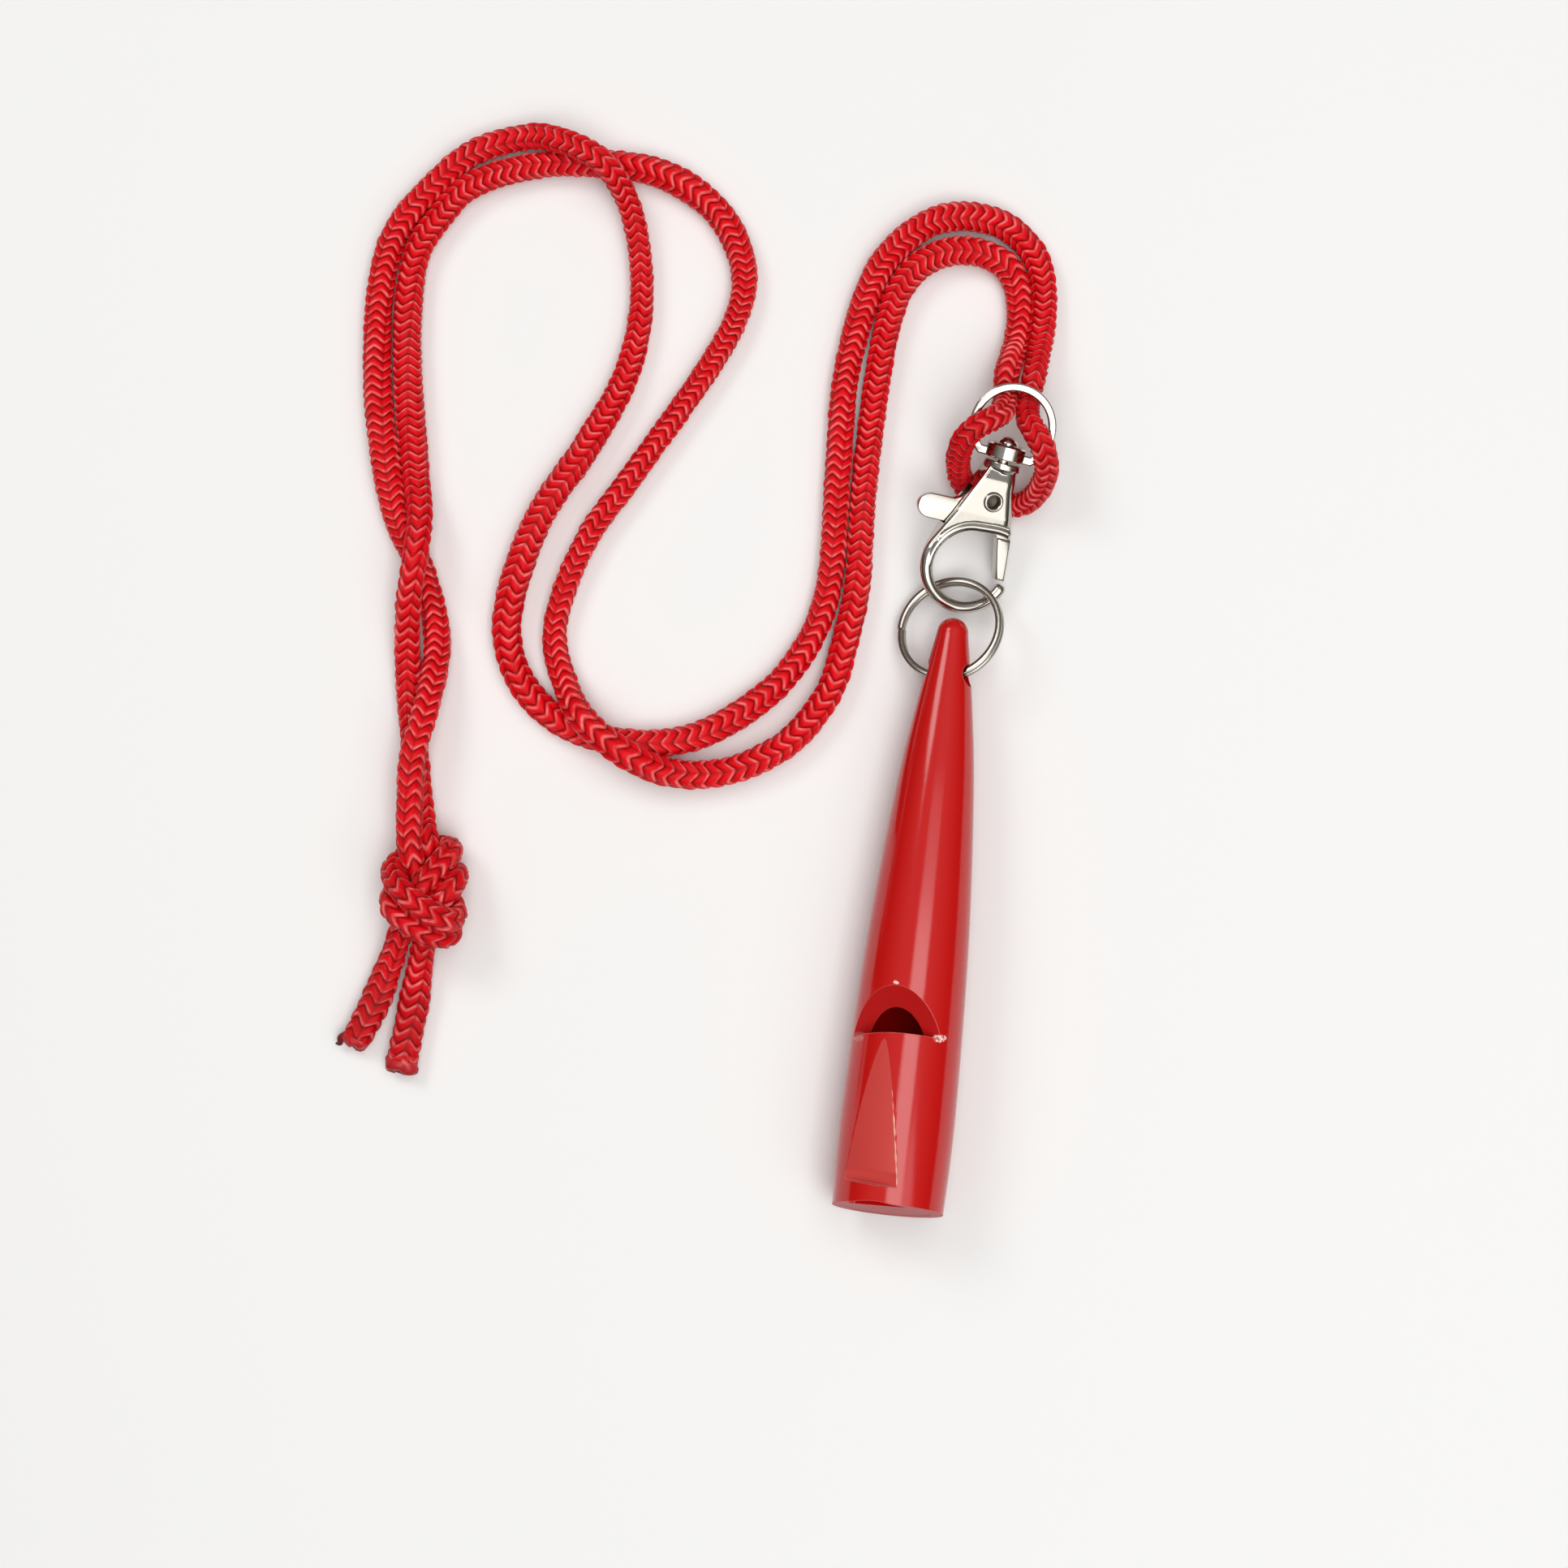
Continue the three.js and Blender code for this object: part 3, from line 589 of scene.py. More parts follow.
class Nodes:
    def __init__(self, tree):
        self.tree = tree

    # Sets the inputs of a node, each to a number or colour or to what another node gives
    def feed(self, node, inputs):
        for name, given in inputs.items():
            if isinstance(given, bpy.types.NodeSocket):
                self.tree.links.new(given, node.inputs[name])
            else:
                node.inputs[name].default_value = given
        return node

    def node(self, kind, inputs=None, **settings):
        node = self.tree.nodes.new("ShaderNode" + kind)
        for key, value in settings.items():
            setattr(node, key, value)
        return self.feed(node, inputs or {})

    def math(self, operation, a, b=0.0):
        return self.node("Math", {0: a, 1: b}, operation=operation).outputs[0]

    def vector_math(self, operation, *given):
        return self.node("VectorMath", dict(enumerate(given)), operation=operation).outputs

    def noise(self, scale, detail=3.0, vector=None, stretch=None):
        if vector is None:
            vector = self.node("TexCoord").outputs["Object"]
        if stretch is not None:
            vector = self.node("Mapping", {"Scale": stretch, "Vector": vector}).outputs["Vector"]
        return self.node("TexNoise", {"Scale": scale, "Detail": detail, "Vector": vector}).outputs["Fac"]

    def ramp(self, source, stops):
        node = self.node("ValToRGB", {"Fac": source})
        while len(node.color_ramp.elements) < len(stops):
            node.color_ramp.elements.new(0.5)
        for element, (place, colour) in zip(node.color_ramp.elements, stops):
            element.position = place
            element.color = (*colour, 1)
        return node.outputs["Color"]

    def spread(self, source, low, high):
        return self.node("MapRange", {"Value": source, "To Min": low, "To Max": high}).outputs["Result"]

    def mix(self, factor, a, b):
        a, b = ((*c, 1) if isinstance(c, tuple) else c for c in (a, b))
        return self.node("Mix", {"Factor": factor, 6: a, 7: b}, data_type="RGBA").outputs[2]

    def attribute(self, name, output="Fac"):
        return self.node("Attribute", attribute_name=name).outputs[output]

    # A place moved a little by noise, for ragged outlines
    def shaken(self, vector, scale, amount):
        noise = self.node("TexNoise", {"Scale": scale, "Vector": vector}).outputs["Color"]
        spread = self.vector_math("MULTIPLY_ADD", noise, (amount,) * 3, (-amount / 2,) * 3)["Vector"]
        return self.vector_math("ADD", vector, spread)["Vector"]

    # One inside an ellipsoid about a centre, falling to nothing at its surface
    def near(self, vector, centre, half):
        scale = tuple(1 / h for h in half)
        shift = tuple(-c / h for c, h in zip(centre, half))
        placed = self.node("Mapping", {"Scale": scale, "Location": shift, "Vector": vector})
        length = self.vector_math("LENGTH", placed.outputs["Vector"])["Value"]
        return self.node("MapRange", {"From Min": 1.0, "From Max": 0.75, "Value": length}).outputs["Result"]


class Finish(Nodes):
    def __init__(self, name, slot):
        self.slot = slot
        self.material = bpy.data.materials.new(name)
        self.material.use_nodes = True
        super().__init__(self.material.node_tree)

    def shade(self, inputs):
        self.feed(self.tree.nodes["Principled BSDF"], inputs)

    def bump(self, height, strength, distance, normal=None):
        inputs = {"Strength": strength, "Distance": distance, "Height": height}
        if normal is not None:
            inputs["Normal"] = normal
        self.shade({"Normal": self.node("Bump", inputs).outputs["Normal"]})


def cord_finish():
    finish = Finish("braided_cord", "cord_red")
    patches = finish.noise(330, 3)
    # Painted shade: the colour is darker in the crevices between stitches and lighter on their tops, with
    # random patches of tone
    relief_shade_and_patches = finish.math("ADD", finish.attribute("relief"), finish.spread(patches, -0.22, 0.22))
    stops = [(0.0, (0.20, 0.0, 0.001)), (0.3, (0.47, 0.0005, 0.003)), (0.7, (0.66, 0.001, 0.006)),
             (1.0, (0.72, 0.003, 0.009))]
    # Painted highlight: a pale pink line along the upper rim of each stitch, broken into patches
    wear_and_highlight = finish.math("MULTIPLY", finish.attribute("rim"), finish.ramp(finish.noise(700, 2), HIGHLIGHT_PATCHES))
    colour = finish.mix(wear_and_highlight, finish.ramp(relief_shade_and_patches, stops), (0.95, 0.25, 0.24))
    threads = finish.math("SINE", finish.math("MULTIPLY", finish.attribute("course"), 2 * math.pi * 5))
    fuzz = finish.noise(2600, 4)
    finish.bump(finish.math("ADD", finish.math("MULTIPLY", threads, 0.25), fuzz), 0.5, 0.00006)
    # The base colour is darkened towards black by the painted shade mark
    finish.shade({
        "Base Color": finish.mix(finish.attribute("shade"), colour, (0.0, 0.0, 0.0)),
        "Roughness": finish.spread(fuzz, 0.36, 0.62),
        "Specular IOR Level": 0.14,
        "Sheen Weight": 0.03,
        "Sheen Roughness": 0.35,
        "Sheen Tint": (1.0, 0.5, 0.5, 1),
    })
    return finish


def seal_finish():
    finish = Finish("melted_cord", "seal_red")
    lumps = finish.noise(900, 4)
    stops = [(0.0, (0.55, 0.010, 0.014)), (0.55, (0.22, 0.004, 0.006)), (1.0, (0.03, 0.004, 0.004))]
    burnt = finish.ramp(finish.attribute("burn"), stops)
    finish.shade({"Base Color": burnt, "Roughness": finish.spread(lumps, 0.25, 0.5)})
    finish.bump(lumps, 0.6, 0.00015)
    return finish


EDGE_WEAR = 0.00016
# Rubbed spots of the whistle: centre, half size, how pale, how grainy
SCUFFS = [
    ((5.4, 24.3, 4.3), (0.95, 0.6, 2.2), 1.0, 0.85),
    ((-5.6, 23.1, 4.6), (1.6, 0.7, 2.2), 0.35, 0.3),
    ((-0.8, 31.2, 7.0), (0.55, 0.2, 1.0), 0.8, 0.0),
]


def plastic_finish(name, base, shine, grain, scuffed, gleam=0.5):
    finish = Finish(name, "whistle_red")
    local = finish.attribute("local", "Vector")
    cloud = finish.noise(0.12, 2, local)
    colour = finish.mix(cloud, base, tuple(c * 1.08 for c in base))
    normal = finish.node("Bevel", {"Radius": EDGE_WEAR}, samples=6).outputs["Normal"]
    true_normal = finish.node("NewGeometry").outputs["Normal"]
    edge = finish.math("SUBTRACT", 1.0, finish.vector_math("DOT_PRODUCT", normal, true_normal)["Value"])
    # Wear: pale rubbed patches along the sharp edges of the plastic
    wear_and_highlight = finish.math("MULTIPLY", finish.math("GREATER_THAN", edge, 0.012), finish.noise(3.5, 3, local))
    colour = finish.mix(finish.math("MULTIPLY", wear_and_highlight, scuffed), colour, (0.86, 0.36, 0.27))
    speckle = finish.ramp(finish.noise(3.4, 2, local), [(0.47, (0, 0, 0)), (0.53, (1, 1, 1))])
    ragged = finish.shaken(local, 1.6, 0.9)
    for centre, half, pale, grainy in SCUFFS:
        spot = finish.near(ragged, centre, half)
        patch = finish.math("MULTIPLY", speckle, grainy)
        amount = finish.math("MULTIPLY", spot, finish.math("ADD", patch, pale * (1 - grainy)))
        keep = finish.math("GREATER_THAN", amount, 0.02) if grainy == 0 else amount
        colour = finish.mix(finish.math("MULTIPLY", keep, pale), colour, (0.92, 0.70, 0.66))
    streaks = finish.noise(2.2, 4, local, (1.0, 0.16, 1.0))
    fine = finish.noise(26, 3, local)
    roughness = finish.spread(finish.math("ADD", streaks, fine), shine, shine + 0.07)
    finish.shade({"Base Color": colour, "Roughness": roughness, "Specular IOR Level": gleam})
    finish.bump(finish.math("ADD", fine, finish.math("MULTIPLY", streaks, 0.6)), grain, 0.00004, normal)
    return finish


def metal_finish(name, slot, base, shine):
    finish = Finish(name, slot)
    colour = finish.mix(finish.noise(420, 3), base, tuple(c * 0.93 for c in base))
    scratches = finish.noise(900, 4, None, (1.0, 0.22, 1.0))
    pits = finish.noise(5200, 2)
    roughness = finish.spread(scratches, shine, shine + 0.1)
    finish.shade({"Base Color": colour, "Roughness": roughness, "Metallic": 1.0})
    finish.bump(finish.math("ADD", scratches, finish.math("MULTIPLY", pits, 0.3)), 0.06, 0.00005)
    return finish


cord_red = cord_finish()
seal_red = seal_finish()
whistle_gloss = plastic_finish("gloss_red", (0.49, 0.006, 0.005), 0.05, 0.06, 0.5)
whistle_satin = plastic_finish("satin_red", (0.52, 0.040, 0.034), 0.30, 0.35, 0.9)
# A darker copy of the red for the window's ramp and sill and the mouth's end faces: painted shade
whistle_shaded_red = plastic_finish("shaded_ramp_red", (0.40, 0.004, 0.004), 0.34, 0.2, 0.1, 0.25)
whistle_inside = plastic_finish("inside_red", (0.46, 0.0012, 0.0012), 0.5, 0.1, 0.0, 0.03)
whistle_worn = plastic_finish("worn_red", (0.80, 0.36, 0.28), 0.4, 0.5, 0.0)
nickel = metal_finish("bright_nickel", "nickel", (0.54, 0.51, 0.455), 0.10)
wire_nickel = metal_finish("wire_nickel", "nickel", (0.42, 0.39, 0.345), 0.14)
dark_oxide = metal_finish("dark_oxide", "nickel", (0.10, 0.085, 0.07), 0.45)
spring_steel = metal_finish("spring_steel", "spring_steel", (0.45, 0.45, 0.46), 0.3)


def dress(obj, finish, body, *nodes):
    if not any(obj.data.materials):
        obj.data.materials.clear()
        obj.data.materials.append(finish.material)
    if body is not None:
        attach(obj, body)
    if nodes:
        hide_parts(*nodes)
    return obj


def lying(points):
    return [(*point, CORD_LIES)[:3] for point in points]


# Middle line of the whole cord, the way along it at each point, and where each stretch starts and ends
def whole_cord():
    to_knot = np.array(KNOT_CENTRE)
    middle = np.array([m for m, _ in KNOT])
    across = np.array([a for _, a in KNOT])
    knot_first, knot_second = tie([STRAND_RIGHT[-1], *(to_knot + middle + across), TAIL_LEFT[0]],
                                  [STRAND_LEFT[-1], *(to_knot + middle - across), TAIL_RIGHT[0]])
    parts = [
        ("tail_left", spline(TAIL_LEFT, 12)[::-1]),
        ("knot_first", knot_first[::-1]),
        ("strand_right", spline(lying(STRAND_RIGHT), 16)[::-1]),
        ("hitch", spline(world(eye_frame, HITCH), 16)[::-1]),
        ("strand_left", spline(lying(STRAND_LEFT), 16)),
        ("knot_second", knot_second),
        ("tail_right", spline(TAIL_RIGHT, 12)),
    ]
    path = eased(even(np.vstack([p for _, p in parts]), CORD_STEP), CORD_EASE)
    reach = reach_along(path)
    bounds = {}
    start = 0.0
    for name, points in parts:
        end = reach[np.argmin(np.linalg.norm(path - points[-1], axis=1))]
        if name == parts[-1][0]:
            end = reach[-1]
        bounds[name] = (start, end)
        start = end
    return path, reach, bounds


# Pushes the two cords of the knot apart until they lie against each other
def tie(first, second):
    lines = [even(spline(line, 10), KNOT_SPACING) for line in (first, second)]
    sizes = [len(line) for line in lines]
    points = np.vstack(lines)
    owner = np.repeat([0, 1], sizes)
    index = np.concatenate([np.arange(n) for n in sizes])
    apart = (owner[:, None] != owner[None]) | (np.abs(index[:, None] - index[None]) > KNOT_NEIGHBOURS)
    held = np.zeros(len(points), bool)
    for start, size in zip((0, sizes[0]), sizes):
        held[[start, start + 1, start + size - 2, start + size - 1]] = True
    for _ in range(KNOT_ROUNDS):
        gap = points[:, None] - points[None]
        far = np.linalg.norm(gap, axis=2) + 1e-9
        press = np.where(apart & (far < 2 * KNOT_RADIUS), (2 * KNOT_RADIUS - far) / far, 0)
        move = KNOT_PUSH * (gap * press[:, :, None]).sum(1)
        for start, size in zip((0, sizes[0]), sizes):
            line = points[start:start + size]
            move[start + 1:start + size - 1] += KNOT_STIFFNESS * ((line[:-2] + line[2:]) / 2 - line[1:-1])
        move[held] = 0
        points = points + np.clip(move, -KNOT_STEP, KNOT_STEP)
        points[:, 2] = np.maximum(points[:, 2], KNOT_RADIUS + KNOT_CLEAR)
    return points[:sizes[0]], points[sizes[0]:]


# Directions across the cord, carried along it without twist
def carried(path):
    along = np.gradient(path, axis=0)
    along /= np.linalg.norm(along, axis=1)[:, None]
    side = np.empty_like(path)
    side[0] = unit(np.cross(along[0], (0, 0, 1)))
    for i in range(1, len(path)):
        step = side[i - 1] - along[i] * (side[i - 1] @ along[i])
        side[i] = step / np.linalg.norm(step)
    return along, side, np.cross(along, side)


cord_path, cord_reach, cord_bounds = whole_cord()


def on_cord(values, at):
    return np.stack([np.interp(at, cord_reach, values[:, k]) for k in range(3)], axis=-1)


# How far a place is inside the bight or the knot, where the cord is drawn tight
def tightness(name, at):
    start, end = cord_bounds[name]
    return np.clip(np.minimum(at - start, end - at) / TIGHT_EASE, 0, 1)


def braid_rows():
    rows = []
    for side, table in STRAND_BRAID.items():
        start, end = cord_bounds["strand_" + side]
        for from_eye, pitch, radius in table:
            rows.append((end - from_eye if side == "right" else start + from_eye, pitch, radius))
    return np.array(sorted(rows)).T


braid_at, braid_pitch, braid_radius = braid_rows()


def cord_radius(at):
    size = np.interp(at, braid_at, braid_radius)
    for name, radius in TIGHT_RADIUS.items():
        size += (radius - size) * tightness(name, at)
    return size


# Running number of stitches along the cord, as their lengths change
def stitch_count():
    pitch = np.interp(cord_reach, braid_at, braid_pitch)
    steps = np.diff(cord_reach) * (1 / pitch[:-1] + 1 / pitch[1:]) / 2
    return np.concatenate([[0], np.cumsum(steps)])


cord_count = stitch_count()
cord_path[:, 2] = np.maximum(cord_path[:, 2], cord_radius(cord_reach) - CORD_SINK)
cord_along, cord_side, cord_up = carried(cord_path)


def stitch_lobe(count, angle):
    wave = 0.5 - 0.5 * np.cos(CORD_WALES * angle)
    ridge = np.abs(((CORD_WALES * angle / math.pi) % 2) - 1)
    slant = CORD_LEAN * (0.6 * wave + 0.4 * (1 - ridge))
    groove = 1 - 0.6 * np.exp(-(wave / 0.06) ** 2) - 0.25 * np.exp(-((1 - wave) / 0.05) ** 2)
    part = (count - slant) % 1.0
    places = [p for p, _ in STITCH] + [1.0]
    heights = [h for _, h in STITCH] + [0.0]
    return np.interp(part, places, heights) * groove, part, slant


# A number between -1 and 1 for each stitch, the same in every run
def stitch_chance(course, angle):
    leg = np.floor(CORD_WALES * angle / math.pi + 1e-6)
    mixed = np.sin(12.9898 * np.floor(course) + 78.233 * leg) * 43758.5453
    return 2 * (mixed % 1.0) - 1


def cord_mesh(name, start, end, spread=None):
    places = np.array([p for p, _ in STITCH])
    angle = around(CORD_SIDES)
    slant = stitch_lobe(np.zeros(CORD_SIDES), angle)[2]
    low, high = np.interp([start, end], cord_reach, cord_count)
    course = (np.arange(math.floor(low) - 1, math.ceil(high) + 1)[:, None] + places[None]).ravel()
    count = np.clip(course[:, None] + slant[None], low, high)
    at = np.clip(np.interp(count, cord_count, cord_reach), start, end)
    lobe, part, _ = stitch_lobe(count, angle[None])
    chance = stitch_chance(course[:, None], angle[None])
    inside = np.clip(np.minimum(at - start, end - at), 0, 1)
    lobe = lobe * (1 + STITCH_UNEVEN * chance * inside)
    at = at + STITCH_SHIFT * stitch_chance(course[:, None] + 0.5, angle[None] + math.pi) * inside
    reach = cord_radius(at) - CORD_RELIEF + CORD_RELIEF * lobe
    flat = np.zeros_like(at) if spread is None else np.clip(spread(at), 0, 1)
    turn = angle[None] + 2 * math.pi * at / CORD_TWIST
    middle = on_cord(cord_path, at)
    side = on_cord(cord_side, at)
    up = on_cord(cord_up, at)
    offset = side * (reach * np.cos(turn))[..., None] + up * (reach * np.sin(turn))[..., None]
    wide = 1 + (TAIL_SPREAD - 1) * flat
    squat = 1 + (TAIL_FLATTEN - 1) * flat
    offset = offset * np.stack([wide, wide, squat], axis=-1)
    points = np.vstack([(middle + offset).reshape(-1, 3), on_cord(cord_path, np.array([start, end]))])
    rows = len(course)
    faces = grid_faces(rows, CORD_SIDES)
    caps = len(points) - 2
    for j in range(CORD_SIDES):
        k = (j + 1) % CORD_SIDES
        faces.append((caps, k, j))
        faces.append((caps + 1, (rows - 1) * CORD_SIDES + j, (rows - 1) * CORD_SIDES + k))
    obj = new_object(name, points * MM, faces)
    # Painted highlight along the upper rim of each stitch
    rim = np.exp(-((part - RIM_HIGHLIGHT_AT) / RIM_HIGHLIGHT_WIDTH) ** 2) * np.clip(lobe, 0, 1)
    tight = np.max([tightness(part_name, at) for part_name in TIGHT_RADIUS], axis=0)
    # Painted shade: the knot, the bight and the flattened tails are darkened
    shade = np.maximum(TIGHT_SHADE * tight, TAIL_SHADE * flat)
    stitches = {"relief": lobe, "rim": rim, "course": course[:, None] + 0 * at, "shade": shade}
    for label, values in stitches.items():
        mark(obj, label, np.concatenate([values.ravel(), [CAP_VALUE] * 2]))
    make_outward(obj)
    obj.data.set_sharp_from_angle(angle=math.radians(CORD_CREASE))
    return obj


def joined(name, *objects):
    mesh = bmesh.new()
    for obj in objects:
        mesh.from_mesh(obj.data)
    both = bpy.data.meshes.new(name)
    mesh.to_mesh(both)
    mesh.free()
    materials = list(objects[0].data.materials)
    discard(*objects)
    obj = linked(name, both)
    for material in materials:
        both.materials.append(material)
    both.shade_smooth()
    return obj


def path_between(start, end):
    at = np.linspace(start, end, max(2, round((end - start) / 2)))
    return on_cord(cord_path, at) * MM


def build_cord():
    for side in ("right", "left"):
        name = "cord_strand_" + side
        braid = cord_mesh(name + "_braid", *cord_bounds["strand_" + side])
        dress(braid, cord_red, "lanyard", name)
    hitch = dress(cord_mesh("cord_hitch_braid", *cord_bounds["hitch"]), cord_red, None, "cord_hitch")
    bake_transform(hitch)
    knot = joined("cord_knot_braid", cord_mesh("knot_a", *cord_bounds["knot_first"]),
                  cord_mesh("knot_b", *cord_bounds["knot_second"]))
    dress(knot, cord_red, "lanyard", "cord_knot")
    pieces = {"left": [hitch], "right": [knot]}
    for side in ("left", "right"):
        start, end = cord_bounds["tail_" + side]
        knot_end, sign = (end, -1) if side == "left" else (start, 1)
        name = "cord_tail_" + side
        tail = cord_mesh(name + "_braid", start, end, lambda at: sign * (at - knot_end) / TAIL_EASE)
        pieces[side] += [dress(tail, cord_red, "lanyard", name), build_seal(side)]
    pieces["left"].append(build_burnt_thread())
    for side in ("right", "left"):
        path = path_between(*cord_bounds["strand_" + side])
        if side == "right":
            path = path[::-1]


# Melted end of a tail: a lumpy end that grows out of the cord
def build_seal(side):
    end = 0.0 if side == "left" else cord_reach[-1]
    sign = -1 if side == "left" else 1
    middle = on_cord(cord_path, end)
    along = sign * on_cord(cord_along, end)
    across = unit(np.cross(along, (0, 0, 1)))
    upward = np.cross(across, along)
    angle = around(SEAL_SIDES)
    phase = 0.6 if side == "left" else 2.4
    rows = []
    for push, wide, high in SEAL_ROWS[side]:
        lump = 1 + 0.07 * np.sin(3 * angle + 2.1 * push + phase) + 0.06 * np.sin(7 * angle - 3 * push + 1.3)
        ripple = 0.16 * np.sin(2 * angle + phase) + 0.1 * np.sin(5 * angle + 2 * push)
        rows.append(middle + np.outer(push + ripple, along) + np.outer(wide * lump * np.cos(angle), across)
                    + np.outer(high * lump * np.sin(angle), upward))
    rows = np.array(rows)
    rows[:, :, 2] = np.maximum(rows[:, :, 2], SEAL_CLEAR)
    obj = tube("tail_seal_" + side + "_melt", rows * MM)
    mark(obj, "burn", np.repeat([0.25 * max(row[0], 0) for row in SEAL_ROWS[side]], SEAL_SIDES))
    make_outward(obj)
    return dress(obj, seal_red, "lanyard", "tail_seal_" + side)


# The dark thread that sticks out of the torn left end
def build_burnt_thread():
    middle = on_cord(cord_path, 0.0)
    along = -on_cord(cord_along, 0.0)
    left = unit(np.cross((0, 0, 1), along))
    if left[0] > 0:
        left = -left
    path = [middle + left * a + along * b + np.array((0, 0, c)) for a, b, c in BURNT_THREAD]
    path = even(spline(path, 8), 0.12)
    _, side, up = carried(path)
    angle = around(THREAD_SIDES)
    reach = np.linspace(0, 1, len(path))
    size = np.interp(reach, *zip(*THREAD_SIZE))
    rows = [p + np.outer(np.cos(angle) * r, a) + np.outer(np.sin(angle) * r, b)
            for p, a, b, r in zip(path, side, up, size)]
    obj = tube("tail_burnt_thread", np.array(rows) * MM)
    mark(obj, "burn", np.repeat(0.25 + 0.75 * reach, THREAD_SIDES))
    make_outward(obj)
    return dress(obj, seal_red, "lanyard")


# Whistle
def whistle_profile(samples):
    stations = np.array(WHISTLE_STATIONS, float)
    ends = np.vstack([stations[0], stations, stations[-1]])
    out = []
    for i in range(1, len(ends) - 2):
        a, b, c, d = ends[i - 1:i + 3]
        t = np.linspace(0, 1, samples, endpoint=False)[:, None]
        u = (c - a) / 2
        v = (d - b) / 2
        out.append((2 * b - 2 * c + u + v) * t ** 3 + (-3 * b + 3 * c - 2 * u - v) * t ** 2 + u * t + b)
    return np.vstack([*out, stations[-1:]])


def whistle_radius(y):
    profile = whistle_profile(40)
    return float(np.interp(y, profile[:, 1], profile[:, 0]))


def keep_local(obj):
    attribute = obj.data.attributes.new("local", "FLOAT_VECTOR", "POINT")
    values = np.empty(len(obj.data.vertices) * 3, np.float32)
    obj.data.vertices.foreach_get("co", values)
    attribute.data.foreach_set("vector", values)


def lip_depth(y):
    share = np.clip((LIP_END - y) / (LIP_END - LIP_RIDGE), 0, 1)
    return LIP_DROP * share ** LIP_GROWTH


# A cutter right across the whistle, from an outline in Y and Z, rolled about its axis
def across_cut(name, outline, finish, roll=0.0):
    obj = prism(name, outline, -CUT_REACH, CUT_REACH, axis="X", finish=finish)
    obj.data.transform(Matrix.Rotation(roll, 4, "Y"))
    return obj


# A block that ends in a face leaning back from its foot, as the mouth and the sill of the window do
def leaning_block(start, lean, finish):
    back = BLOCK_HALF * math.tan(math.radians(lean))
    outline = [(-BLOCK_DEPTH, -BLOCK_HALF), (start - back, -BLOCK_HALF), (start + back, BLOCK_HALF),
               (-BLOCK_DEPTH, BLOCK_HALF)]
    upward = whistle_frame["turn"].T @ (0, 0, 1)
    return across_cut("block", outline, finish, math.atan2(upward[0], upward[2]))


# The window: a ramp that scoops down to the bore and ends at the leaning sill
def window_cutter():
    ramp_end = WINDOW_FROM_MOUTH + RAMP_LENGTH
    ramp_top = whistle_radius(ramp_end)
    scoop = [(ramp_end - RAMP_LENGTH * t, ramp_top - RAMP_DROP * (1 - (1 - t) ** RAMP_SCOOP))
             for t in np.linspace(0, 1, 15)]
    foot = (WINDOW_FROM_MOUTH - SILL_BEHIND, scoop[-1][1])
    outline = [*scoop, foot, (foot[0], CUT_REACH), (ramp_end, CUT_REACH)]
    window = across_cut("window", outline, whistle_shaded_red, math.radians(WINDOW_ROLL))
    return cut(window, leaning_block(WINDOW_FROM_MOUTH, SILL_LEAN, whistle_shaded_red))


# What is cut from the turned body, each cutter with the finish that it leaves behind
def whistle_cutters():
    cutters = [rod("bore", BORE_RADIUS, -MOUTH_CUT, BORE_DEPTH, finish=whistle_inside), window_cutter()]
    for lift in (-HOLE_SLACK, HOLE_SLACK):
        hole = rod("hole", HOLE_RADIUS, -CUT_REACH, CUT_REACH, sides=48, finish=whistle_inside)
        centre = Matrix.Translation((0, WHISTLE_LENGTH - HOLE_FROM_TIP, lift))
        hole.data.transform(centre @ Matrix.Rotation(math.pi / 2, 4, "Z"))
        cutters.append(hole)
    cutters.append(leaning_block(0.0, MOUTH_LEAN, whistle_shaded_red))
    back = [(MOUTH_SLOT_SPREAD * t, MOUTH_SLOT_FROM + MOUTH_SLOT_BACK * math.cos(math.pi * t / 2))
            for t in np.linspace(-1, 1, 25)]
    upper_lip = [(-MOUTH_SLOT_SPREAD, -BLOCK_DEPTH), *back, (MOUTH_SLOT_SPREAD, -BLOCK_DEPTH)]
    cutters.append(prism("upper_lip", upper_lip, WINDWAY_FLAT, CUT_REACH, finish=whistle_gloss))
    line = [(y, whistle_radius(y) - float(lip_depth(y))) for y in np.linspace(LIP_RIDGE, LIP_END, 24)]
    flat = [*line, (LIP_END, CUT_REACH), (LIP_RIDGE, CUT_REACH)]
    for side in (0, 180):
        cutters.append(across_cut("lip", flat, whistle_satin, math.radians(LIP_ROLL + side)))
    return cutters


# The rubbed right edge of the mouthpiece flat, a thin pale line of uneven width
def build_rubbed_edge():
    roll = Matrix.Rotation(math.radians(LIP_ROLL), 4, "Y")
    rows = []
    heights = np.linspace(LIP_RIDGE + 0.15, LIP_RIDGE + RUBBED_SHARE * (LIP_END - LIP_RIDGE), RUBBED_ROWS)
    for i, y in enumerate(heights):
        radius = whistle_radius(y)
        high = radius - float(lip_depth(y))
        across = math.sqrt(radius ** 2 - high ** 2) - 0.05
        size = RUBBED_SIZE + sum(swell * math.sin(rate * i + shift) for swell, rate, shift in RUBBED_WAVES)
        size *= min(1, 0.3 + 2.2 * (1 - i / RUBBED_ROWS), 0.3 + i / 6)
        rows.append([(across + size * math.cos(a), y, high - 0.03 + 0.7 * size * math.sin(a))
                     for a in around(RUBBED_SIDES)])
    edge = tube("whistle_rubbed_edge", rows)
    edge.data.transform(roll)
    make_outward(edge)
    keep_local(edge)
    dress(settle(edge, whistle_frame), whistle_worn, "whistle")


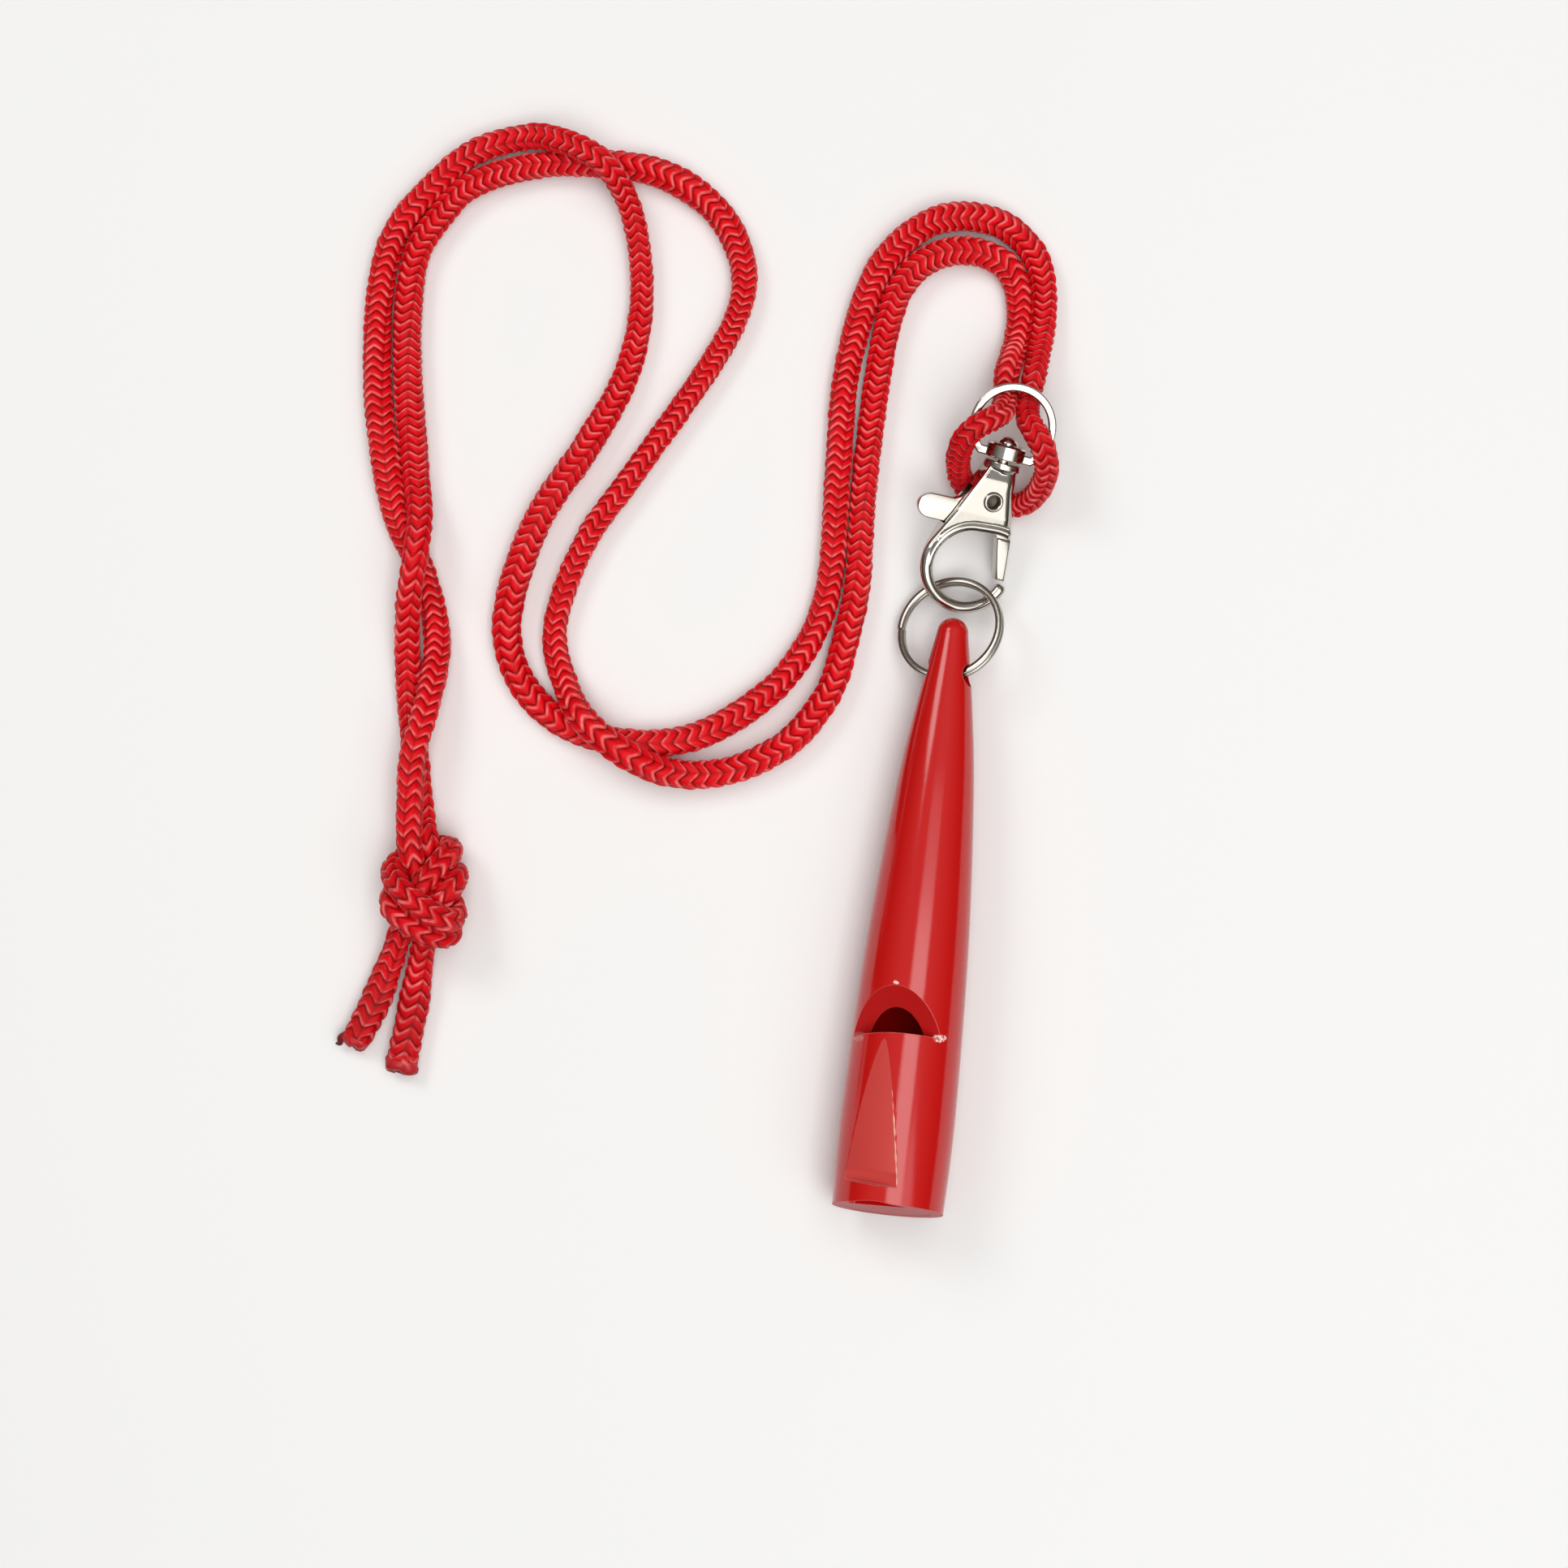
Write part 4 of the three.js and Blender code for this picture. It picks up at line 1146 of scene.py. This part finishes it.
def build_whistle():
    edge = [(0, -MOUTH_REACH), (whistle_radius(0), -MOUTH_REACH)]
    tip = [(WHISTLE_STATIONS[-1][0] * math.cos(a), WHISTLE_LENGTH - TIP_ROUND + TIP_ROUND * math.sin(a))
           for a in np.linspace(0, math.pi / 2, 14)[1:]]
    profile = [*edge, *whistle_profile(18), *tip]
    body = turned("whistle_body_gloss", profile, sides=128, finish=whistle_gloss)
    cut(body, *whistle_cutters())
    keep_local(body)
    dress(settle(body, whistle_frame, crease=WHISTLE_CREASE), whistle_gloss, "whistle", "whistle_body")
    build_rubbed_edge()
    build_plug()


# Block that fills the mouth but for the windway over its flat
def build_plug():
    plug = rod("windway_plug_gloss", BORE_RADIUS - PLUG_FIT, -MOUTH_REACH, WINDOW_FROM_MOUTH,
               finish=whistle_gloss)
    end = WINDOW_FROM_MOUTH + 1
    outline = [(-MOUTH_CUT, WINDWAY_FLAT), (end, WINDWAY_FLAT), (end, CUT_REACH), (-MOUTH_CUT, CUT_REACH)]
    windway = across_cut("windway", outline, whistle_inside)
    cut(plug, windway, leaning_block(PLUG_INSET, MOUTH_LEAN, whistle_shaded_red))
    keep_local(plug)
    dress(settle(plug, whistle_frame, crease=WHISTLE_CREASE), whistle_gloss, "whistle", "windway_plug")


# Split ring: a rounded wire wound twice, its ends cut square
def build_ring():
    section = []
    for a in around(RING_SIDES):
        c, s = math.cos(a), math.sin(a)
        section.append((math.copysign(abs(c) ** RING_SQUARE, c) * RING_WIRE_WIDTH / 2,
                        math.copysign(abs(s) ** RING_SQUARE, s) * RING_WIRE_THICKNESS / 2))
    rows = []
    for t in np.linspace(0, 1, RING_STEPS):
        angle = math.pi + t * 4 * math.pi
        rise = (1 / (1 + math.exp(-(t - 0.5) * RING_CROSSING)) - 0.5) * RING_TURN_PITCH
        across, up = math.cos(angle), math.sin(angle)
        rows.append([((RING_RADIUS + out) * across, (RING_RADIUS + out) * up, rise + high)
                     for out, high in section])
    ring = tube("split_ring_wire", rows)
    dress(settle(ring, ring_frame, crease=50), wire_nickel, "ring", "split_ring")


# Clip body: a cast plate, rounded down its right flank, that runs out into a hook of round wire
def limb_left(y):
    outer = HOOK_INNER + HOOK_WIRE
    reach = math.hypot(-NECK_HALF - HOOK_X, NECK_Y - HOOK_Y)
    start = math.atan2(NECK_Y - HOOK_Y, -NECK_HALF - HOOK_X) + math.acos(outer / reach)
    touch_x, touch_y = arc((HOOK_X, HOOK_Y), outer, math.degrees(start), 180, 2)[0]
    if y > touch_y:
        share = (NECK_Y - y) / (NECK_Y - touch_y)
        return -NECK_HALF + share * (touch_x + NECK_HALF)
    return HOOK_X - math.sqrt(outer ** 2 - (y - HOOK_Y) ** 2)


def plate_section(left, right, half):
    flank = min(FLANK_ROUND, FLANK_SHARE * half)
    edge = min(EDGE_ROUND, EDGE_SHARE * half)
    upper = arc((left + edge, half - edge), edge, 180, 90, 8)
    upper += arc((right - flank, half - flank), flank, 90, 0, 14)
    return upper + [(x, -z) for x, z in reversed(upper)]


def build_plate():
    corners = ((NECK_HALF, NECK_Y), SHOULDER, CORNER, HOOK_LIP_CORNER)
    right_y, right_x = zip(*sorted((y, x) for x, y in corners))
    depth_y, depth = zip(*sorted(PLATE_DEPTHS))
    rows = []
    for y in np.linspace(NECK_Y, LIMB_END_Y, 60):
        past = y <= HOOK_LIP_CORNER[1] - PLATE_PAST
        right = HOOK_X if past else float(np.interp(y, right_y, right_x))
        half = float(np.interp(y, depth_y, depth))
        rows.append([(x, y, z) for x, z in plate_section(limb_left(y), right, half)])
    plate = make_outward(tube("clip_body_cast", rows))
    hook = (HOOK_X, HOOK_Y)
    opening = [*arc(hook, HOOK_INNER, 270, 92, 80), *HOOK_LIP_EDGE, (OPENING_FAR[0], HOOK_LIP_CORNER[1]),
               OPENING_FAR, (HOOK_X, OPENING_FAR[1])]
    step = [*arc(hook, STEP_RADIUS, 250, 92, 60), *STEP_EDGE, STEP_FAR, (HOOK_X, STEP_FAR[1])]
    cut(plate, prism("opening", opening, -CLIP_CUT, CLIP_CUT))
    for side in (1, -1):
        cut(plate, prism("step", step, *sorted((side * STEP_HEIGHT, side * CLIP_CUT))))
    return plate


# A round bar along points in X and Y, of given half width and depth, closed round at its ends
def round_bar(name, path, half_width, half_depth, z=0.0, sides=24):
    path = np.array(path, float)
    along = np.gradient(path, axis=0)
    along /= np.linalg.norm(along, axis=1)[:, None]
    reach = reach_along(path)
    widths, depths, heights = (np.broadcast_to(v, len(path)) for v in (half_width, half_depth, z))
    rows = []
    for (x, y), (dx, dy), at, wide, deep, high in zip(path, along, reach, widths, depths, heights):
        near = min(at, reach[-1] - at) / wide
        size = math.sqrt(max(1 - max(1 - near - 0.15, 0) ** 2, 0.05))
        row = []
        for a in around(sides):
            out = wide * size * math.cos(a)
            row.append((x + dy * out, y - dx * out, high + deep * size * math.sin(a)))
        rows.append(row)
    return make_outward(tube(name, rows))


on_pivot = Matrix.Translation((*PIVOT, 0)) @ Matrix.Rotation(math.pi / 2, 4, "X")


# The rounded rims round the opening of the hook, which grow out of its wire
def add_lips(body):
    path = [*arc((HOOK_X, HOOK_Y), HOOK_INNER + HOOK_LIP_ROUND, 205, 92, 70),
            *((x, y + HOOK_LIP_ROUND) for x, y in HOOK_LIP_EDGE)]
    path = even(np.column_stack([spline(path, 3), np.zeros(3 * len(path) - 2)]), 0.12)[:, :2]
    grown = np.clip(np.linspace(0, HOOK_LIP_GROWTH, len(path)), 0, 1)
    thin, low = HOOK_LIP_START
    size = thin + (HOOK_LIP_ROUND - thin) * grown
    height = low + (HOOK_LIP_HEIGHT - low) * grown
    for side in (1, -1):
        cut(body, round_bar("lip", path, size, size, z=side * height), operation="UNION")


def build_clip():
    body = build_plate()
    wire_radius = HOOK_WIRE / 2
    wire_path = arc((HOOK_X, HOOK_Y), HOOK_INNER + wire_radius, 150, 360 + HOOK_TIP_ANGLE, 120)
    cut(body, round_bar("hook_wire", wire_path, wire_radius, HOOK_HALF), operation="UNION")
    add_lips(body)
    foot = [(NECK_HALF - inward, NECK_Y - down) for inward, down in COLLAR_FOOT]
    collar = [(0, foot[0][1]), *foot, (COLLAR_RADIUS, NECK_Y - COLLAR_EDGE), (COLLAR_RADIUS, COLLAR_TOP),
              (0, COLLAR_TOP)]
    cut(body, turned("collar", collar, sides=64), operation="UNION")
    rounded(body, CLIP_VOXEL, CLIP_SMOOTHING)
    rivet_way = rod("rivet_way", RIVET_RADIUS + RIVET_PLAY, -CLIP_CUT, CLIP_CUT, sides=48)
    rivet_way.data.transform(on_pivot)
    inner = CORNER[0] - SLOT_WALL
    slot = [*SLOT_LEFT, (inner, HOOK_Y), (inner, CORNER[1]), *arc(PIVOT, SLOT_RADIUS, 0, 140, 24)]
    socket = rod("socket", PIN_RADIUS + PIN_PLAY, -SOCKET_HALF, SOCKET_HALF, sides=40)
    cut(body, rivet_way, prism("slot", slot, -SLOT_HALF, SLOT_HALF), socket)
    dress(settle(body, clip_frame, crease=CLIP_CREASE), nickel, "clip", "clip_body")


def build_lever():
    gate_tab = zip(GATE_TAB_X, (GATE_TOP, GATE_END, GATE_END, GATE_TOP))
    outline = [*arc((TAB_END_X, TAB_Y), TAB_HALF, 90, 270, 24), (TAB_ROOT_X, TAB_Y - TAB_HALF),
               LEVER_CROTCH, *gate_tab, (CORNER[0] - LEVER_WALL, GATE_TOP),
               *arc(PIVOT, HUB_RADIUS, 8, 150, 20), (TAB_ROOT_X, TAB_Y + TAB_HALF)]
    hole = arc(PIVOT, RIVET_RADIUS + LEVER_PLAY, 0, 360, 33)[:-1]
    lever = rim_plate("gate_lever_tab", [outline, hole], LEVER_HALF, LEVER_RIM)
    bar = list(zip(BAR_X, (BAR_TOP, BAR_END, BAR_END, BAR_TOP)))
    lever = joined("gate_lever_pressed", lever, rim_plate("gate_bar", [bar], GATE_HALF, BAR_RIM))
    dress(settle(lever, clip_frame, crease=CLIP_CREASE), nickel, "gate", "gate_lever")


def build_rivet():
    upper = arc((RIVET_BORE + RIVET_ROLL, PLATE_HALF + RIVET_PROUD), RIVET_ROLL, -60, 180, 14)
    lower = [(r, -y) for r, y in reversed(upper)]
    rivet = turned("gate_rivet_rolled", [*upper, *lower], sides=64, closed=True)
    rivet.data.transform(on_pivot)
    dress(settle(rivet, clip_frame), wire_nickel, "clip", "gate_rivet")
    core = turned("gate_rivet_core", CORE_PROFILE, sides=40)
    core.data.transform(on_pivot)
    dress(settle(core, clip_frame, crease=CLIP_CREASE), dark_oxide, "clip")


def strap(radius, foot):
    angle = math.degrees(math.asin((foot - EYE_CENTRE_Y) / radius))
    return arc((0, EYE_CENTRE_Y), radius, angle, 180 - angle, 64)


def build_swivel():
    outlines = [strap(EYE_RADIUS, EYE_FOOT), strap(EYE_RADIUS - EYE_STRAP, EYE_FOOT + EYE_BASE)]
    eye = rim_plate("swivel_eye_strap", outlines, EYE_HALF_WIDTH, EYE_RIM)
    bore = PIN_RADIUS + EYE_PLAY
    boss = [(bore, EYE_FOOT + BOSS_DISH), (BOSS_RADIUS - BOSS_FOOT_EDGE, EYE_FOOT),
            (BOSS_RADIUS, EYE_FOOT + BOSS_FOOT_EDGE), (BOSS_RADIUS, BOSS_TOP - BOSS_EDGE),
            (BOSS_RADIUS - BOSS_EDGE, BOSS_TOP), (bore, BOSS_TOP)]
    eye = joined("swivel_eye_band", eye, turned("boss", boss, sides=64, closed=True))
    dress(settle(eye, eye_frame, crease=CLIP_CREASE), nickel, "lanyard", "swivel_eye")
    dome = [(PIN_HEAD_RADIUS * math.cos(a), PIN_HEAD_FOOT + PIN_HEAD_HEIGHT * math.sin(a))
            for a in np.linspace(0, math.pi / 2, 14)]
    shank = [(0, PIN_FOOT), (PIN_RADIUS, PIN_FOOT), (PIN_RADIUS, PIN_HEAD_FOOT)]
    pin = turned("swivel_pin_headed", shank + dome, sides=48)
    dress(settle(pin, clip_frame, crease=CLIP_CREASE), nickel, "clip", "swivel_pin")


def build_spring():
    node = frame["nodes"]["gate_spring"]
    node.data.materials.clear()
    node.data.materials.append(spring_steel.material)


# Table, light and camera
def build_table():
    corners = [(-TABLE_HALF, -TABLE_HALF, 0), (TABLE_HALF, -TABLE_HALF, 0), (TABLE_HALF, TABLE_HALF, 0),
               (-TABLE_HALF, TABLE_HALF, 0)]
    paint = Finish("pale_table", "nickel")
    far = paint.vector_math("LENGTH", paint.node("TexCoord").outputs["Object"])["Value"]
    fade = paint.node("MapRange", {"From Min": TABLE_FADE[1], "From Max": TABLE_FADE[0], "Value": far},
                      interpolation_type="SMOOTHSTEP")
    paint.shade({"Base Color": TABLE_COLOUR, "Roughness": 0.9, "Specular IOR Level": 0.1,
                 "Alpha": fade.outputs["Result"]})
    table = new_object("table_top", corners, [(0, 1, 2, 3)], paint)
    table.location.z = -TABLE_DROP


def build_sky():
    sky = bpy.data.worlds.new("studio")
    sky.use_nodes = True
    scene.world = sky
    air = Nodes(sky.node_tree)
    height = air.node("SeparateXYZ", {0: air.node("TexCoord").outputs["Generated"]}).outputs["Z"]
    seen = air.node("LightPath").outputs["Is Camera Ray"]
    colour = air.mix(seen, air.ramp(height, SKY), SKY_SEEN)
    air.feed(sky.node_tree.nodes["Background"], {"Color": colour, "Strength": SKY_STRENGTH})


def build_lamps():
    yaw = math.radians(PANEL_YAW)
    for name, start, end, share, mirrored in CEILING:
        middle = (start + end) / 2
        at = (PANEL_AT[0] - middle * math.sin(yaw), middle * math.cos(yaw), PANEL_AT[1])
        power = share * PANEL_POWER * PANEL_WIDTH * (end - start)
        panel = lamp(name, at, (PANEL_WIDTH, end - start), power)
        panel.rotation_euler = (0, 0, yaw)
        panel.visible_glossy = mirrored
    for name, at, size, power in SIDE_LAMPS:
        lamp(name, at, (size, size), power)


def lamp(name, at, size, power):
    light = bpy.data.lights.new(name, "AREA")
    light.shape = "RECTANGLE"
    light.size, light.size_y = size
    light.energy = power
    obj = linked(name, light)
    obj.location = at
    obj.rotation_euler = (-obj.location).to_track_quat("-Z", "Y").to_euler()
    return obj


def build_camera():
    camera = bpy.data.cameras.new("photo_camera")
    camera.lens = CAMERA_LENS
    camera.sensor_width = CAMERA_SENSOR
    camera.clip_start = 0.01
    obj = linked("photo_camera", camera)
    obj.location = np.array(CAMERA_AT) * MM
    scene.camera = obj
    scene.render.resolution_x = PHOTO_SIZE
    scene.render.resolution_y = PHOTO_SIZE
    scene.view_settings.view_transform = "Standard"


build_table()
build_sky()
build_lamps()
build_camera()
build_cord()
build_whistle()
build_ring()
build_clip()
build_lever()
build_rivet()
build_swivel()
build_spring()
